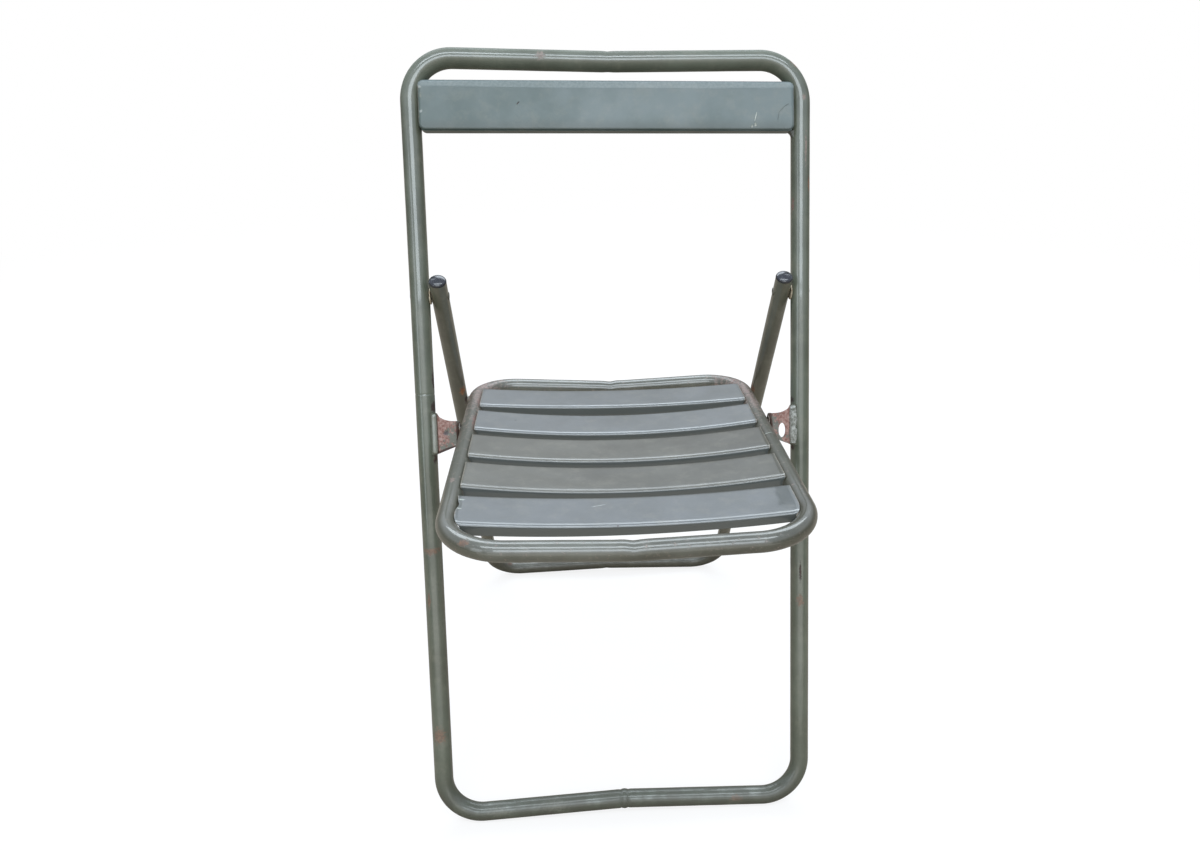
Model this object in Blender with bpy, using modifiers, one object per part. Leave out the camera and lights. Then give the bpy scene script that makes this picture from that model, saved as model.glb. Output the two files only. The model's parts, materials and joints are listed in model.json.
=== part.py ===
"""A steel folding chair: a leaning tube frame with a backrest panel, a slatted seat and a folding rear leg.

Metres, +Z up, +Y towards the back of the chair, +X to the right as seen from the front.
The origin is on the floor, midway between the chair's foremost and rearmost points.
The seat turns on two rivets in brackets on the uprights. The rear leg turns on two rivets higher up.
Two studs under the seat's rear bends run in slots in the rear leg, so that both fold together.
"""

import math

import bmesh
import bpy
from mathutils import Matrix, Vector

# Fits
GAP = 0.0003  # between pieces that touch on the real chair
TUBE_WALL = 0.0015
FOOT_WEAR = 0.0004  # depth of the flats that the floor has worn on the feet
BUTT_GAP = 0.0004  # the line where a loop's two tube ends meet
STOP_GAP = 0.0008  # left between the folded rear leg and what stops it
COUNTERSINK_EASE = 3  # a countersink's radial clearance, in gaps

# Main frame: back and front legs in one loop, sizes along its centreline
MAIN_TUBE = 0.020
MAIN_WIDTH = 0.400
MAIN_LENGTH = 0.804
MAIN_LEAN = math.radians(22.0)
MAIN_BEND = 0.0425
TOP_BAR_DIP = 0.0032
FOOT_BAR_RISE = 0.007
MAIN_BUTT_HEIGHT = 0.467
MAIN_SLEEVE_LENGTH = 0.060

# Backrest panel: a shallow tray whose edges turn back to the uprights
PANEL_DROP = 0.0238  # top edge below the top bar's centreline
PANEL_HEIGHT = 0.0492
PANEL_LAP = 0.0012  # how far each end laps over its upright
PANEL_STANDOFF = 0.0006  # from the uprights' foremost line to the panel's back
PANEL_LIP = 0.014
PANEL_FOLD = 0.0035
PANEL_SHEET = 0.0012

# Rear leg
REAR_TUBE = 0.018
REAR_LEAN = math.radians(25.5)
REAR_BEND = 0.044
REAR_BAR_RISE = 0.009
LEG_PIVOT_HEIGHT = 0.568  # up the main frame
LEG_STUB = 0.019  # tube above the pivot
LEG_WASHER = 0.0009
LEG_WASHER_DIAMETER = 0.017
LEG_RIVET = 0.006
LEG_RIVET_HEAD = 0.011  # on the leg's inner side
LEG_RIVET_DOME = 0.0014
LEG_RIVET_TAIL = 0.0085  # on the upright's outer side, peened low
LEG_RIVET_TAIL_DOME = 0.0008
CAP_DOME = 0.0055
CAP_STEM = 0.010
CAP_WALL = 0.002

# Seat pivot and the room for the rear leg that folds past it
SEAT_PIVOT_HEIGHT = 0.4295  # up the main frame
SEAT_PIVOT_SET = 0.248  # behind the seat's front bar
SEAT_WASHER = 0.001
SEAT_WASHER_DIAMETER = 0.013
SEAT_RIVET = 0.005
SEAT_RIVET_HEAD = 0.0082
SEAT_RIVET_DOME = 0.002
SEAT_RIVET_TAIL = 0.0085  # widest diameter of the flush tail
SEAT_RIVET_LAND = 0.0004  # straight wall of the bracket's hole under the tail
LEG_PASS = 0.0028  # between bracket and folded rear leg
BRACKET_SHEET = 0.0016
BRACKET_WEB_FRONT = 0.0063  # middle of the web ahead of the uprights' centreline
BRACKET_JOGGLE = 0.0035  # the web starts this far inside the upright
BRACKET_FOLD = 0.0024
BRACKET_SADDLE_FROM = math.radians(58.0)  # saddle on the tube, measured from its inner side forwards
BRACKET_SADDLE_TO = math.radians(20.0)
BRACKET_ROOT_HEIGHT = 0.044
BRACKET_TIP_HEIGHT = 0.026
BRACKET_SHOULDER = 3  # power of the curve in which the upper edge falls away
BRACKET_DROP = 0.004  # middle of the bracket below the seat pivot
BRACKET_EYE = 0.011  # flange behind the rivet
BRACKET_EYE_DRAW = 0.0066  # how far the flange's edges draw in behind the rivet
BRACKET_MARK_SET = 0.0212  # middle of a bracket's dimple or hole, from the upright's centreline
DIMPLE = 0.006  # round, in the left bracket
DIMPLE_DEPTH = 0.0008
DIMPLE_DROP = 0.003  # below the seat pivot
HOLE_WIDTH = 0.0075  # oval, through the right bracket
HOLE_HEIGHT = 0.0155
HOLE_DROP = 0.0095

# Seat frame
SEAT_TUBE = 0.018
SEAT_TAIL = 0.0068  # rear bar's centreline behind the studs
SEAT_TILT = math.radians(3.1)  # rear edge lower
SEAT_FRONT_BEND = 0.0515
SEAT_REAR_BEND = 0.045
SEAT_FRONT_DIP = 0.0055
SEAT_REAR_DIP = 0.0075
SEAT_BUTT_SET = 0.031  # ahead of the seat pivot
SEAT_SLEEVE_LENGTH = 0.036

# Slats, front to rear
SLAT_SAGS = (0.0075, 0.0105, 0.0105, 0.010, 0.0055)
SLAT_WIDTH = 0.052
SLAT_END_SPACE = 0.033  # from a bar's centreline to the nearest slat
SLAT_FLANGE = 0.0115
SLAT_FOLD = 0.003
SLAT_SHEET = 0.0012
SLAT_RISE = 0.009  # top of a slat's end above the seat frame's centreline
SLAT_LAP = 0.002  # how far a slat's top laps over the seat frame

# Studs that slide in the rear leg
PIN = 0.008
PIN_INSET = 0.0255  # where a stud starts, inside the seat frame's side centreline
PIN_REACH = 0.007  # how far it enters the rear leg
PIN_CHAMFER = 0.001
SLOT_CLEARANCE = 0.0005

# Fineness of the round shapes
TUBE_BEVEL = 6  # sixteen sides
TURNED_STEPS = 20
BEND_STEP = math.radians(15)
KINK_BEND = 0.060
FOLD_STEPS = 3
SLAT_STATIONS = 10
SLOT_STATIONS = 9
SHARP_EDGE = math.radians(40)
MERGE = 0.00001
HINGE_MARK = 0.05


def bend_lift(rise, half_width, bend):
    """How far a bar's lowest point, in its corner bends, lies above the corner of its straight lines."""
    slope = math.atan(rise / half_width)
    return bend * (math.tan(slope) + 1 / math.cos(slope) - 1)


# Places that follow from the sizes above; each pair is (y, z) with the foot bar's line at zero
REAR_WIDTH = MAIN_WIDTH - MAIN_TUBE - REAR_TUBE - 2 * (LEG_WASHER + 2 * GAP)
FOOT_LIFT = bend_lift(FOOT_BAR_RISE, MAIN_WIDTH / 2, MAIN_BEND)
REAR_FOOT_LIFT = bend_lift(REAR_BAR_RISE, REAR_WIDTH / 2, REAR_BEND)
FOOT_HEIGHT = MAIN_TUBE / 2 - FOOT_WEAR - FOOT_LIFT * math.cos(MAIN_LEAN)
REAR_FOOT_HEIGHT = REAR_TUBE / 2 - FOOT_WEAR - REAR_FOOT_LIFT * math.cos(REAR_LEAN)
PANEL_BOTTOM = MAIN_LENGTH - PANEL_DROP - PANEL_HEIGHT
LEAN_UP = Vector((math.sin(MAIN_LEAN), math.cos(MAIN_LEAN)))
LEG_DOWN = Vector((math.sin(REAR_LEAN), -math.cos(REAR_LEAN)))
SEAT_BACK = Vector((math.cos(SEAT_TILT), -math.sin(SEAT_TILT)))
SEAT_UP = Vector((math.sin(SEAT_TILT), math.cos(SEAT_TILT)))
SEAT_PIVOT = Vector((0, FOOT_HEIGHT)) + SEAT_PIVOT_HEIGHT * LEAN_UP
LEG_PIVOT = Vector((0, FOOT_HEIGHT)) + LEG_PIVOT_HEIGHT * LEAN_UP
LEG_LENGTH = (LEG_PIVOT.y - REAR_FOOT_HEIGHT) / math.cos(REAR_LEAN)

SEAT_SIDE_ROOM = GAP + SEAT_WASHER + GAP + BRACKET_SHEET + LEG_PASS
SEAT_WIDTH = REAR_WIDTH - REAR_TUBE - SEAT_TUBE - 2 * SEAT_SIDE_ROOM
SEAT_OUTER = SEAT_WIDTH / 2 + SEAT_TUBE / 2
SEAT_INNER = SEAT_WIDTH / 2 - SEAT_TUBE / 2
FLANGE_INNER = SEAT_OUTER + GAP + SEAT_WASHER + GAP
FLANGE_OUTER = FLANGE_INNER + BRACKET_SHEET

FOREMOST = (SEAT_PIVOT - SEAT_PIVOT_SET * SEAT_BACK - SEAT_FRONT_DIP * SEAT_UP).x - SEAT_TUBE / 2
REARMOST = (LEG_PIVOT + (LEG_LENGTH - REAR_FOOT_LIFT) * LEG_DOWN).x + REAR_TUBE / 2
FOOT_Y = -(FOREMOST + REARMOST) / 2

PIN_ROOT = SEAT_WIDTH / 2 - PIN_INSET
DIP_AT_PIN = SEAT_REAR_DIP * (1 - PIN_ROOT / (SEAT_WIDTH / 2))
PIN_DROP = SEAT_TUBE / 2 + DIP_AT_PIN + GAP + PIN / 2  # under the seat frame's centreline
PIN_ALONG_LEG = (SEAT_PIVOT - PIN_DROP * SEAT_UP - LEG_PIVOT).dot(SEAT_UP) / LEG_DOWN.dot(SEAT_UP)
PIN_PLACE = LEG_PIVOT + PIN_ALONG_LEG * LEG_DOWN
PIN_SET = (PIN_PLACE - SEAT_PIVOT).dot(SEAT_BACK)
SEAT_LENGTH = SEAT_PIVOT_SET + PIN_SET + SEAT_TAIL

# Fold: the leg stops behind the foot bar or the bracket's web, and the studs then set the seat's angle
CRANK = (SEAT_PIVOT - LEG_PIVOT).length
SEAT_ARM = (PIN_PLACE - SEAT_PIVOT).length
FOOT_STOP = math.asin((MAIN_TUBE / 2 + REAR_TUBE / 2 + STOP_GAP) / LEG_PIVOT_HEIGHT)
WEB_BACK = BRACKET_WEB_FRONT - BRACKET_SHEET / 2
WEB_STOP = math.asin((REAR_TUBE / 2 + STOP_GAP - WEB_BACK) / CRANK)
LEG_STOP = max(FOOT_STOP, WEB_STOP)
LEG_FOLD = MAIN_LEAN + REAR_LEAN - LEG_STOP
OPEN_ANGLE = LEAN_UP.angle(SEAT_PIVOT - PIN_PLACE)
SEAT_FOLD = OPEN_ANGLE - LEG_STOP - math.asin(CRANK * math.sin(LEG_STOP) / SEAT_ARM)
FOLD_RATIO = LEG_FOLD / SEAT_FOLD


def clear_scene():
    for found in list(bpy.data.objects):
        bpy.data.objects.remove(found, do_unlink=True)


def new_collection(name):
    collection = bpy.data.collections.new(name)
    bpy.context.scene.collection.children.link(collection)
    return collection


def new_material(name, colour, roughness, metallic):
    material = bpy.data.materials.new(name)
    material.use_nodes = True
    shader = material.node_tree.nodes["Principled BSDF"]
    shader.inputs["Base Color"].default_value = (*colour, 1.0)
    shader.inputs["Roughness"].default_value = roughness
    shader.inputs["Metallic"].default_value = metallic
    return material


def new_hinge(name, place, turn):
    """An empty on a joint's axis; place is (y, z) from the foot bar's line, turn is about X."""
    hinge = bpy.data.objects.new(name, None)
    hinge.location = (0, FOOT_Y + place.x, place.y)
    hinge.rotation_euler = (turn, 0, 0)
    hinge.empty_display_size = HINGE_MARK
    PARTS.objects.link(hinge)
    return hinge


def add_part(name, mesh, material, hinge, place=(0, 0, 0)):
    part = bpy.data.objects.new(name, mesh)
    part.parent = hinge
    part.location = place
    mesh.materials.clear()
    mesh.materials.append(material)
    PARTS.objects.link(part)
    return part


def add_cutter(name, mesh, hinge, place=(0, 0, 0)):
    cutter = bpy.data.objects.new(name, mesh)
    cutter.parent = hinge
    cutter.location = place
    cutter.hide_render = True
    cutter.display_type = "WIRE"
    CUTTERS.objects.link(cutter)
    return cutter


def cut(part, cutter, operation="DIFFERENCE"):
    boolean = part.modifiers.new("cut_" + cutter.name, "BOOLEAN")
    boolean.operation = operation
    boolean.solver = "EXACT"
    boolean.object = cutter


def thicken(part, sheet):
    """Gives an open surface its thickness, on the side away from its normals."""
    solidify = part.modifiers.new("sheet", "SOLIDIFY")
    solidify.thickness = sheet
    solidify.offset = -1
    solidify.use_even_offset = True


def round_corners(corners):
    """Points of a line through corners, each (place, radius), with an arc at every corner inside the line."""
    points = [Vector(corners[0][0])]
    for (before, _), (corner, radius), (after, _) in zip(corners, corners[1:], corners[2:]):
        corner = Vector(corner)
        back = (Vector(before) - corner).normalized()
        ahead = (Vector(after) - corner).normalized()
        turn = math.pi - back.angle(ahead)
        start = corner + back * radius * math.tan(turn / 2)
        centre = corner + (back + ahead).normalized() * radius / math.cos(turn / 2)
        axis = back.cross(start - centre)
        steps = max(2, math.ceil(turn / BEND_STEP))
        for step in range(steps + 1):
            points.append(centre + Matrix.Rotation(turn * step / steps, 3, axis) @ (start - centre))
    points.append(Vector(corners[-1][0]))
    return points


def tube_mesh(name, points, diameter, closed=False):
    """The round skin of a tube along points: open at both ends, or one ring when closed."""
    curve = bpy.data.curves.new(name, "CURVE")
    curve.dimensions = "3D"
    curve.bevel_depth = diameter / 2
    curve.bevel_resolution = TUBE_BEVEL
    spline = curve.splines.new("POLY")
    spline.points.add(len(points) - 1)
    spline.use_cyclic_u = closed
    for spline_point, point in zip(spline.points, points):
        spline_point.co = (*point, 1)
    guide = bpy.data.objects.new(name, curve)
    CUTTERS.objects.link(guide)
    graph = bpy.context.evaluated_depsgraph_get()
    mesh = bpy.data.meshes.new_from_object(guide.evaluated_get(graph))
    mesh.name = name
    bpy.data.objects.remove(guide, do_unlink=True)
    mesh.shade_smooth()
    return mesh


def loft_mesh(name, rows):
    """A sheet through rows of points, every row with as many points."""
    shape = bmesh.new()
    grid = [[shape.verts.new(point) for point in row] for row in rows]
    for row, next_row in zip(grid, grid[1:]):
        for a, b, c, d in zip(row, row[1:], next_row[1:], next_row):
            shape.faces.new((a, b, c, d))
    mesh = bpy.data.meshes.new(name)
    shape.to_mesh(mesh)
    shape.free()
    mesh.shade_smooth()
    mesh.set_sharp_from_angle(angle=SHARP_EDGE)
    return mesh


def slab_mesh(name, outline, low, high):
    """A flat outline of (y, z) points, run along X from low to high."""
    shape = bmesh.new()
    face = shape.faces.new([shape.verts.new((low, y, z)) for y, z in outline])
    raised = bmesh.ops.extrude_face_region(shape, geom=[face])["geom"]
    moved = [item for item in raised if isinstance(item, bmesh.types.BMVert)]
    bmesh.ops.translate(shape, vec=(high - low, 0, 0), verts=moved)
    bmesh.ops.recalc_face_normals(shape, faces=shape.faces)
    mesh = bpy.data.meshes.new(name)
    shape.to_mesh(mesh)
    shape.free()
    return mesh


def rod_mesh(name, diameter, low, high):
    """A solid rod along X from low to high."""
    radius = diameter / 2
    depth = high - low
    shape = bmesh.new()
    bmesh.ops.create_cone(
        shape, cap_ends=True, segments=TURNED_STEPS, radius1=radius, radius2=radius, depth=depth
    )
    onto_x = Matrix.Rotation(math.pi / 2, 3, "Y")
    bmesh.ops.rotate(shape, cent=(0, 0, 0), matrix=onto_x, verts=shape.verts)
    bmesh.ops.translate(shape, vec=((low + high) / 2, 0, 0), verts=shape.verts)
    mesh = bpy.data.meshes.new(name)
    shape.to_mesh(mesh)
    shape.free()
    mesh.shade_smooth()
    mesh.set_sharp_from_angle(angle=SHARP_EDGE)
    return mesh


def turn_profile(part, axis):
    """Turns a part's profile once round its own axis."""
    screw = part.modifiers.new("turned", "SCREW")
    screw.axis = axis
    screw.steps = TURNED_STEPS
    screw.render_steps = TURNED_STEPS
    screw.use_merge_vertices = True
    screw.merge_threshold = MERGE
    screw.use_smooth_shade = True


def profile_mesh(name, profile, closed=False):
    """A line of (radius, height) points, turned round Z later; an outer side runs downwards."""
    shape = bmesh.new()
    verts = [shape.verts.new((radius, 0, height)) for radius, height in profile]
    for first, second in zip(verts, verts[1:]):
        shape.edges.new((first, second))
    if closed:
        shape.edges.new((verts[-1], verts[0]))
    mesh = bpy.data.meshes.new(name)
    shape.to_mesh(mesh)
    shape.free()
    return mesh


def face_side(part, side):
    """Turns a part that was made round Z so that its top faces outwards along X, on side 1 or -1."""
    part.rotation_euler = (0, side * math.pi / 2, 0)


def dome(radius, base, height):
    """Points of a low dome from its top on the axis out to its rim."""
    angles = [step * math.pi / 2 / FOLD_STEPS for step in range(FOLD_STEPS + 1)]
    return [(radius * math.sin(angle), base + height * math.cos(angle)) for angle in angles]


def mirrored(profile):
    """The same points below the profile's own zero height, in the order that goes on from it."""
    return [(radius, -height) for radius, height in reversed(profile)]


def fold_points(corner, radius, towards_start, towards_end):
    """A sheet's bend at corner, in two dimensions, from one straight side to the other at right angles."""
    start = Vector(towards_start)
    end = Vector(towards_end)
    centre = Vector(corner) + radius * (start + end)
    angles = [step * math.pi / 2 / FOLD_STEPS for step in range(FOLD_STEPS + 1)]
    return [centre - radius * (math.cos(angle) * end + math.sin(angle) * start) for angle in angles]


def main_loop(butt_gap):
    side = MAIN_WIDTH / 2
    return round_corners(
        [
            ((-side, 0, MAIN_BUTT_HEIGHT + butt_gap / 2), 0),
            ((-side, 0, MAIN_LENGTH), MAIN_BEND),
            ((0, 0, MAIN_LENGTH - TOP_BAR_DIP), KINK_BEND),
            ((side, 0, MAIN_LENGTH), MAIN_BEND),
            ((side, 0, 0), MAIN_BEND),
            ((0, 0, FOOT_BAR_RISE), KINK_BEND),
            ((-side, 0, 0), MAIN_BEND),
            ((-side, 0, MAIN_BUTT_HEIGHT - butt_gap / 2), 0),
        ]
    )


def seat_loop(butt_gap):
    side = SEAT_WIDTH / 2
    front = -SEAT_PIVOT_SET
    rear = SEAT_LENGTH - SEAT_PIVOT_SET
    return round_corners(
        [
            ((side, -SEAT_BUTT_SET - butt_gap / 2, 0), 0),
            ((side, front, 0), SEAT_FRONT_BEND),
            ((0, front, -SEAT_FRONT_DIP), KINK_BEND),
            ((-side, front, 0), SEAT_FRONT_BEND),
            ((-side, rear, 0), SEAT_REAR_BEND),
            ((0, rear, -SEAT_REAR_DIP), KINK_BEND),
            ((side, rear, 0), SEAT_REAR_BEND),
            ((side, -SEAT_BUTT_SET + butt_gap / 2, 0), 0),
        ]
    )


def rear_leg_line():
    side = REAR_WIDTH / 2
    return round_corners(
        [
            ((-side, 0, LEG_STUB), 0),
            ((-side, 0, -LEG_LENGTH), REAR_BEND),
            ((0, 0, -LEG_LENGTH + REAR_BAR_RISE), KINK_BEND),
            ((side, 0, -LEG_LENGTH), REAR_BEND),
            ((side, 0, LEG_STUB), 0),
        ]
    )


def make_floor_cutter():
    """A block under the floor, which leaves the worn flats on the feet."""
    shape = bmesh.new()
    bmesh.ops.create_cube(shape, size=1.0)
    depth = REARMOST - FOREMOST
    bmesh.ops.scale(shape, vec=(2 * MAIN_WIDTH, 2 * depth, MAIN_TUBE), verts=shape.verts)
    bmesh.ops.translate(shape, vec=(0, 0, -MAIN_TUBE / 2), verts=shape.verts)
    mesh = bpy.data.meshes.new("floor")
    shape.to_mesh(mesh)
    shape.free()
    return add_cutter("floor", mesh, None)


def make_sleeve(name, bore, length, place, hinge, turn):
    """The plug inside a loop where its tube ends meet, itself a short tube."""
    outer = bore / 2 - GAP
    inner = outer - TUBE_WALL
    ring = [(inner, length / 2), (outer, length / 2), (outer, -length / 2), (inner, -length / 2)]
    sleeve = add_part(name, profile_mesh(name, ring, closed=True), STEEL, hinge, place)
    sleeve.rotation_euler = (turn, 0, 0)
    turn_profile(sleeve, "Z")


def make_main_frame(floor):
    frame = add_part("main_frame", tube_mesh("main_frame", main_loop(BUTT_GAP), MAIN_TUBE), PAINT, FRAME_LEAN)
    thicken(frame, TUBE_WALL)
    cut(frame, floor)
    for side, name in SIDES:
        hole = rod_mesh("leg_hole_" + name, LEG_RIVET + 2 * GAP, -MAIN_TUBE, MAIN_TUBE)
        pivot = (side * MAIN_WIDTH / 2, 0, LEG_PIVOT_HEIGHT)
        cut(frame, add_cutter("leg_hole_" + name, hole, FRAME_LEAN, pivot))
    make_sleeve(
        "main_frame_sleeve",
        MAIN_TUBE - 2 * TUBE_WALL,
        MAIN_SLEEVE_LENGTH,
        (-MAIN_WIDTH / 2, 0, MAIN_BUTT_HEIGHT),
        FRAME_LEAN,
        0,
    )


def make_main_trimmer():
    """The main frame's loop, a gap larger all round, which trims what is welded to it."""
    mesh = tube_mesh("main_trimmer", main_loop(0)[:-1], MAIN_TUBE + 2 * GAP, closed=True)
    return add_cutter("main_trimmer", mesh, FRAME_LEAN)


def make_backrest_panel(trimmer):
    """A box open at the back, with rounded edges, trimmed where its edges meet the uprights."""
    reach = MAIN_WIDTH / 2 - MAIN_TUBE / 2 + PANEL_LAP
    front = -(MAIN_TUBE / 2 + PANEL_STANDOFF + PANEL_SHEET)
    shape = bmesh.new()
    bmesh.ops.create_cube(shape, size=1.0)
    bmesh.ops.scale(shape, vec=(2 * reach, PANEL_LIP, PANEL_HEIGHT), verts=shape.verts)
    middle = PANEL_BOTTOM + PANEL_HEIGHT / 2
    bmesh.ops.translate(shape, vec=(0, front + PANEL_LIP / 2, middle), verts=shape.verts)
    behind = [face for face in shape.faces if face.normal.y > 0.5]
    bmesh.ops.delete(shape, geom=behind, context="FACES")
    mesh = bpy.data.meshes.new("backrest_panel")
    shape.to_mesh(mesh)
    shape.free()
    mesh.shade_smooth()
    panel = add_part("backrest_panel", mesh, PANEL_PAINT, FRAME_LEAN)
    fold = panel.modifiers.new("folds", "BEVEL")
    fold.width = PANEL_FOLD
    fold.segments = FOLD_STEPS
    thicken(panel, PANEL_SHEET)
    cut(panel, trimmer)


def bracket_section():
    """The bracket's sheet seen from above, as (inwards, forwards) from the upright's centreline."""
    saddle = MAIN_TUBE / 2 + GAP + BRACKET_SHEET / 2
    span = BRACKET_SADDLE_TO - BRACKET_SADDLE_FROM
    section = []
    for step in range(FOLD_STEPS + 1):
        angle = BRACKET_SADDLE_FROM + span * step / FOLD_STEPS
        section.append((saddle * math.cos(angle), saddle * math.sin(angle)))
    flange = MAIN_WIDTH / 2 - (FLANGE_INNER + FLANGE_OUTER) / 2
    web_start = MAIN_TUBE / 2 + BRACKET_JOGGLE
    section.append((web_start, BRACKET_WEB_FRONT))
    section.append(((web_start + flange) / 2, BRACKET_WEB_FRONT))
    section += fold_points((flange, BRACKET_WEB_FRONT), BRACKET_FOLD, (-1, 0), (0, -1))
    return section, flange


def bracket_edges(inwards, flange):
    """Heights of a bracket's lower and upper edge: the lower runs straight, the upper falls away early."""
    share = min(max((inwards - MAIN_TUBE / 2) / (flange - MAIN_TUBE / 2), 0), 1)
    middle = SEAT_PIVOT_HEIGHT - BRACKET_DROP
    root = BRACKET_ROOT_HEIGHT / 2
    loss = (BRACKET_ROOT_HEIGHT - BRACKET_TIP_HEIGHT) / 2
    fall = 1 - (1 - share) ** BRACKET_SHOULDER
    return middle - root + loss * share, middle + root - loss * fall


def make_bracket(side, name, trimmer):
    section, flange = bracket_section()
    rows = [(inwards, forwards, *bracket_edges(inwards, flange)) for inwards, forwards in section]
    low, high = bracket_edges(flange, flange)
    for step in range(1, FOLD_STEPS + 1):
        angle = step * math.pi / 2 / FOLD_STEPS
        draw_in = (1 - math.cos(angle)) * BRACKET_EYE_DRAW
        rows.append((flange, -BRACKET_EYE * math.sin(angle), low + draw_in, high - draw_in))
    points = []
    for inwards, forwards, bottom, top in rows:
        x = side * (MAIN_WIDTH / 2 - inwards)
        heights = (bottom, top) if side > 0 else (top, bottom)
        points.append([(x, -forwards, height) for height in heights])
    bracket = add_part("seat_bracket_" + name, loft_mesh("seat_bracket_" + name, points), RUST, FRAME_LEAN)
    thicken(bracket, BRACKET_SHEET)
    bracket.modifiers["sheet"].offset = 0
    cut(bracket, trimmer)
    web_front = BRACKET_WEB_FRONT + BRACKET_SHEET / 2
    if side < 0:
        mark = rod_mesh("bracket_mark_" + name, DIMPLE, web_front - DIMPLE_DEPTH, web_front + MAIN_TUBE)
        drop = DIMPLE_DROP
    else:
        turns = [step * math.tau / TURNED_STEPS for step in range(TURNED_STEPS)]
        oval = [(HOLE_WIDTH / 2 * math.cos(turn), HOLE_HEIGHT / 2 * math.sin(turn)) for turn in turns]
        mark = slab_mesh("bracket_mark_" + name, oval, 0, web_front + MAIN_TUBE)
        drop = HOLE_DROP
    place = (side * (MAIN_WIDTH / 2 - BRACKET_MARK_SET), 0, SEAT_PIVOT_HEIGHT - drop)
    mark_cutter = add_cutter("bracket_mark_" + name, mark, FRAME_LEAN, place)
    mark_cutter.rotation_euler = (0, 0, -math.pi / 2)
    cut(bracket, mark_cutter)
    eye_mesh = profile_mesh("bracket_eye_" + name, seat_rivet_profile(GAP))
    eye = add_cutter("bracket_eye_" + name, eye_mesh, FRAME_LEAN, (0, 0, SEAT_PIVOT_HEIGHT))
    face_side(eye, side)
    turn_profile(eye, "Z")
    cut(bracket, eye)


def seat_rivet_profile(clearance):
    """The seat rivet from its flush tail in the bracket to its domed head inside the seat frame."""
    shank = SEAT_RIVET / 2 + clearance
    wide = SEAT_RIVET_TAIL / 2 + COUNTERSINK_EASE * clearance
    tail = FLANGE_OUTER + clearance
    head_face = SEAT_INNER - GAP
    profile = [(0, tail), (wide, tail), (shank, FLANGE_INNER + SEAT_RIVET_LAND), (shank, head_face)]
    if clearance:
        return profile + [(0, head_face)]
    head = mirrored(dome(SEAT_RIVET_HEAD / 2, 0, SEAT_RIVET_DOME))
    return profile + [(radius, head_face + height) for radius, height in head]


def make_seat_pivot(side, name):
    rivet = add_part(
        "seat_rivet_" + name,
        profile_mesh("seat_rivet_" + name, seat_rivet_profile(0)),
        STEEL,
        FRAME_LEAN,
        (0, 0, SEAT_PIVOT_HEIGHT),
    )
    face_side(rivet, side)
    turn_profile(rivet, "Z")
    inner = SEAT_RIVET / 2 + GAP
    outer = SEAT_WASHER_DIAMETER / 2
    low = SEAT_OUTER + GAP
    high = low + SEAT_WASHER
    ring = [(inner, high), (outer, high), (outer, low), (inner, low)]
    washer = add_part(
        "seat_washer_" + name,
        profile_mesh("seat_washer_" + name, ring, closed=True),
        STEEL,
        FRAME_LEAN,
        (0, 0, SEAT_PIVOT_HEIGHT),
    )
    face_side(washer, side)
    turn_profile(washer, "Z")


def make_leg_pivot(side, name):
    shank = LEG_RIVET / 2
    outer_face = MAIN_WIDTH / 2 + MAIN_TUBE / 2 + GAP
    inner_face = REAR_WIDTH / 2 - REAR_TUBE / 2 - GAP
    head = mirrored(dome(LEG_RIVET_HEAD / 2, 0, LEG_RIVET_DOME))
    profile = dome(LEG_RIVET_TAIL / 2, outer_face, LEG_RIVET_TAIL_DOME)
    profile += [(shank, outer_face), (shank, inner_face)]
    profile += [(radius, inner_face + height) for radius, height in head]
    pivot = (0, 0, LEG_PIVOT_HEIGHT)
    rivet_mesh = profile_mesh("leg_rivet_" + name, profile)
    rivet = add_part("leg_rivet_" + name, rivet_mesh, STEEL, FRAME_LEAN, pivot)
    face_side(rivet, side)
    turn_profile(rivet, "Z")
    inner = shank + GAP
    outer = LEG_WASHER_DIAMETER / 2
    low = REAR_WIDTH / 2 + REAR_TUBE / 2 + GAP
    high = low + LEG_WASHER
    ring = [(inner, high), (outer, high), (outer, low), (inner, low)]
    mesh = profile_mesh("leg_washer_" + name, ring, closed=True)
    washer = add_part("leg_washer_" + name, mesh, PALE_WASHER, FRAME_LEAN, pivot)
    face_side(washer, side)
    turn_profile(washer, "Z")


def pin_in_leg(fold):
    """Where a stud's centre lies in the rear leg's own (y, z) when the seat has turned by fold."""
    arm = Matrix.Rotation(-fold, 2) @ (PIN_PLACE - SEAT_PIVOT)
    return Matrix.Rotation(FOLD_RATIO * fold - REAR_LEAN, 2) @ (SEAT_PIVOT + arm - LEG_PIVOT)


def slot_outline():
    """The slot round the stud's path, with a round end at each end."""
    half = PIN / 2 + SLOT_CLEARANCE
    path = [pin_in_leg(SEAT_FOLD * step / (SLOT_STATIONS - 1)) for step in range(SLOT_STATIONS)]
    ahead = [(after - before).normalized() for before, after in zip(path, path[1:])]
    ahead.append(ahead[-1])
    right = [p + half * Vector((-d.y, d.x)) for p, d in zip(path, ahead)]
    left = [p - half * Vector((-d.y, d.x)) for p, d in zip(path, ahead)]
    steps = TURNED_STEPS // 2
    turns = [Matrix.Rotation(-math.pi * step / steps, 2) for step in range(1, steps)]
    far = [path[-1] + turn @ (right[-1] - path[-1]) for turn in turns]
    near = [path[0] + turn @ (left[0] - path[0]) for turn in turns]
    return right + far + left[::-1] + near


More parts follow.
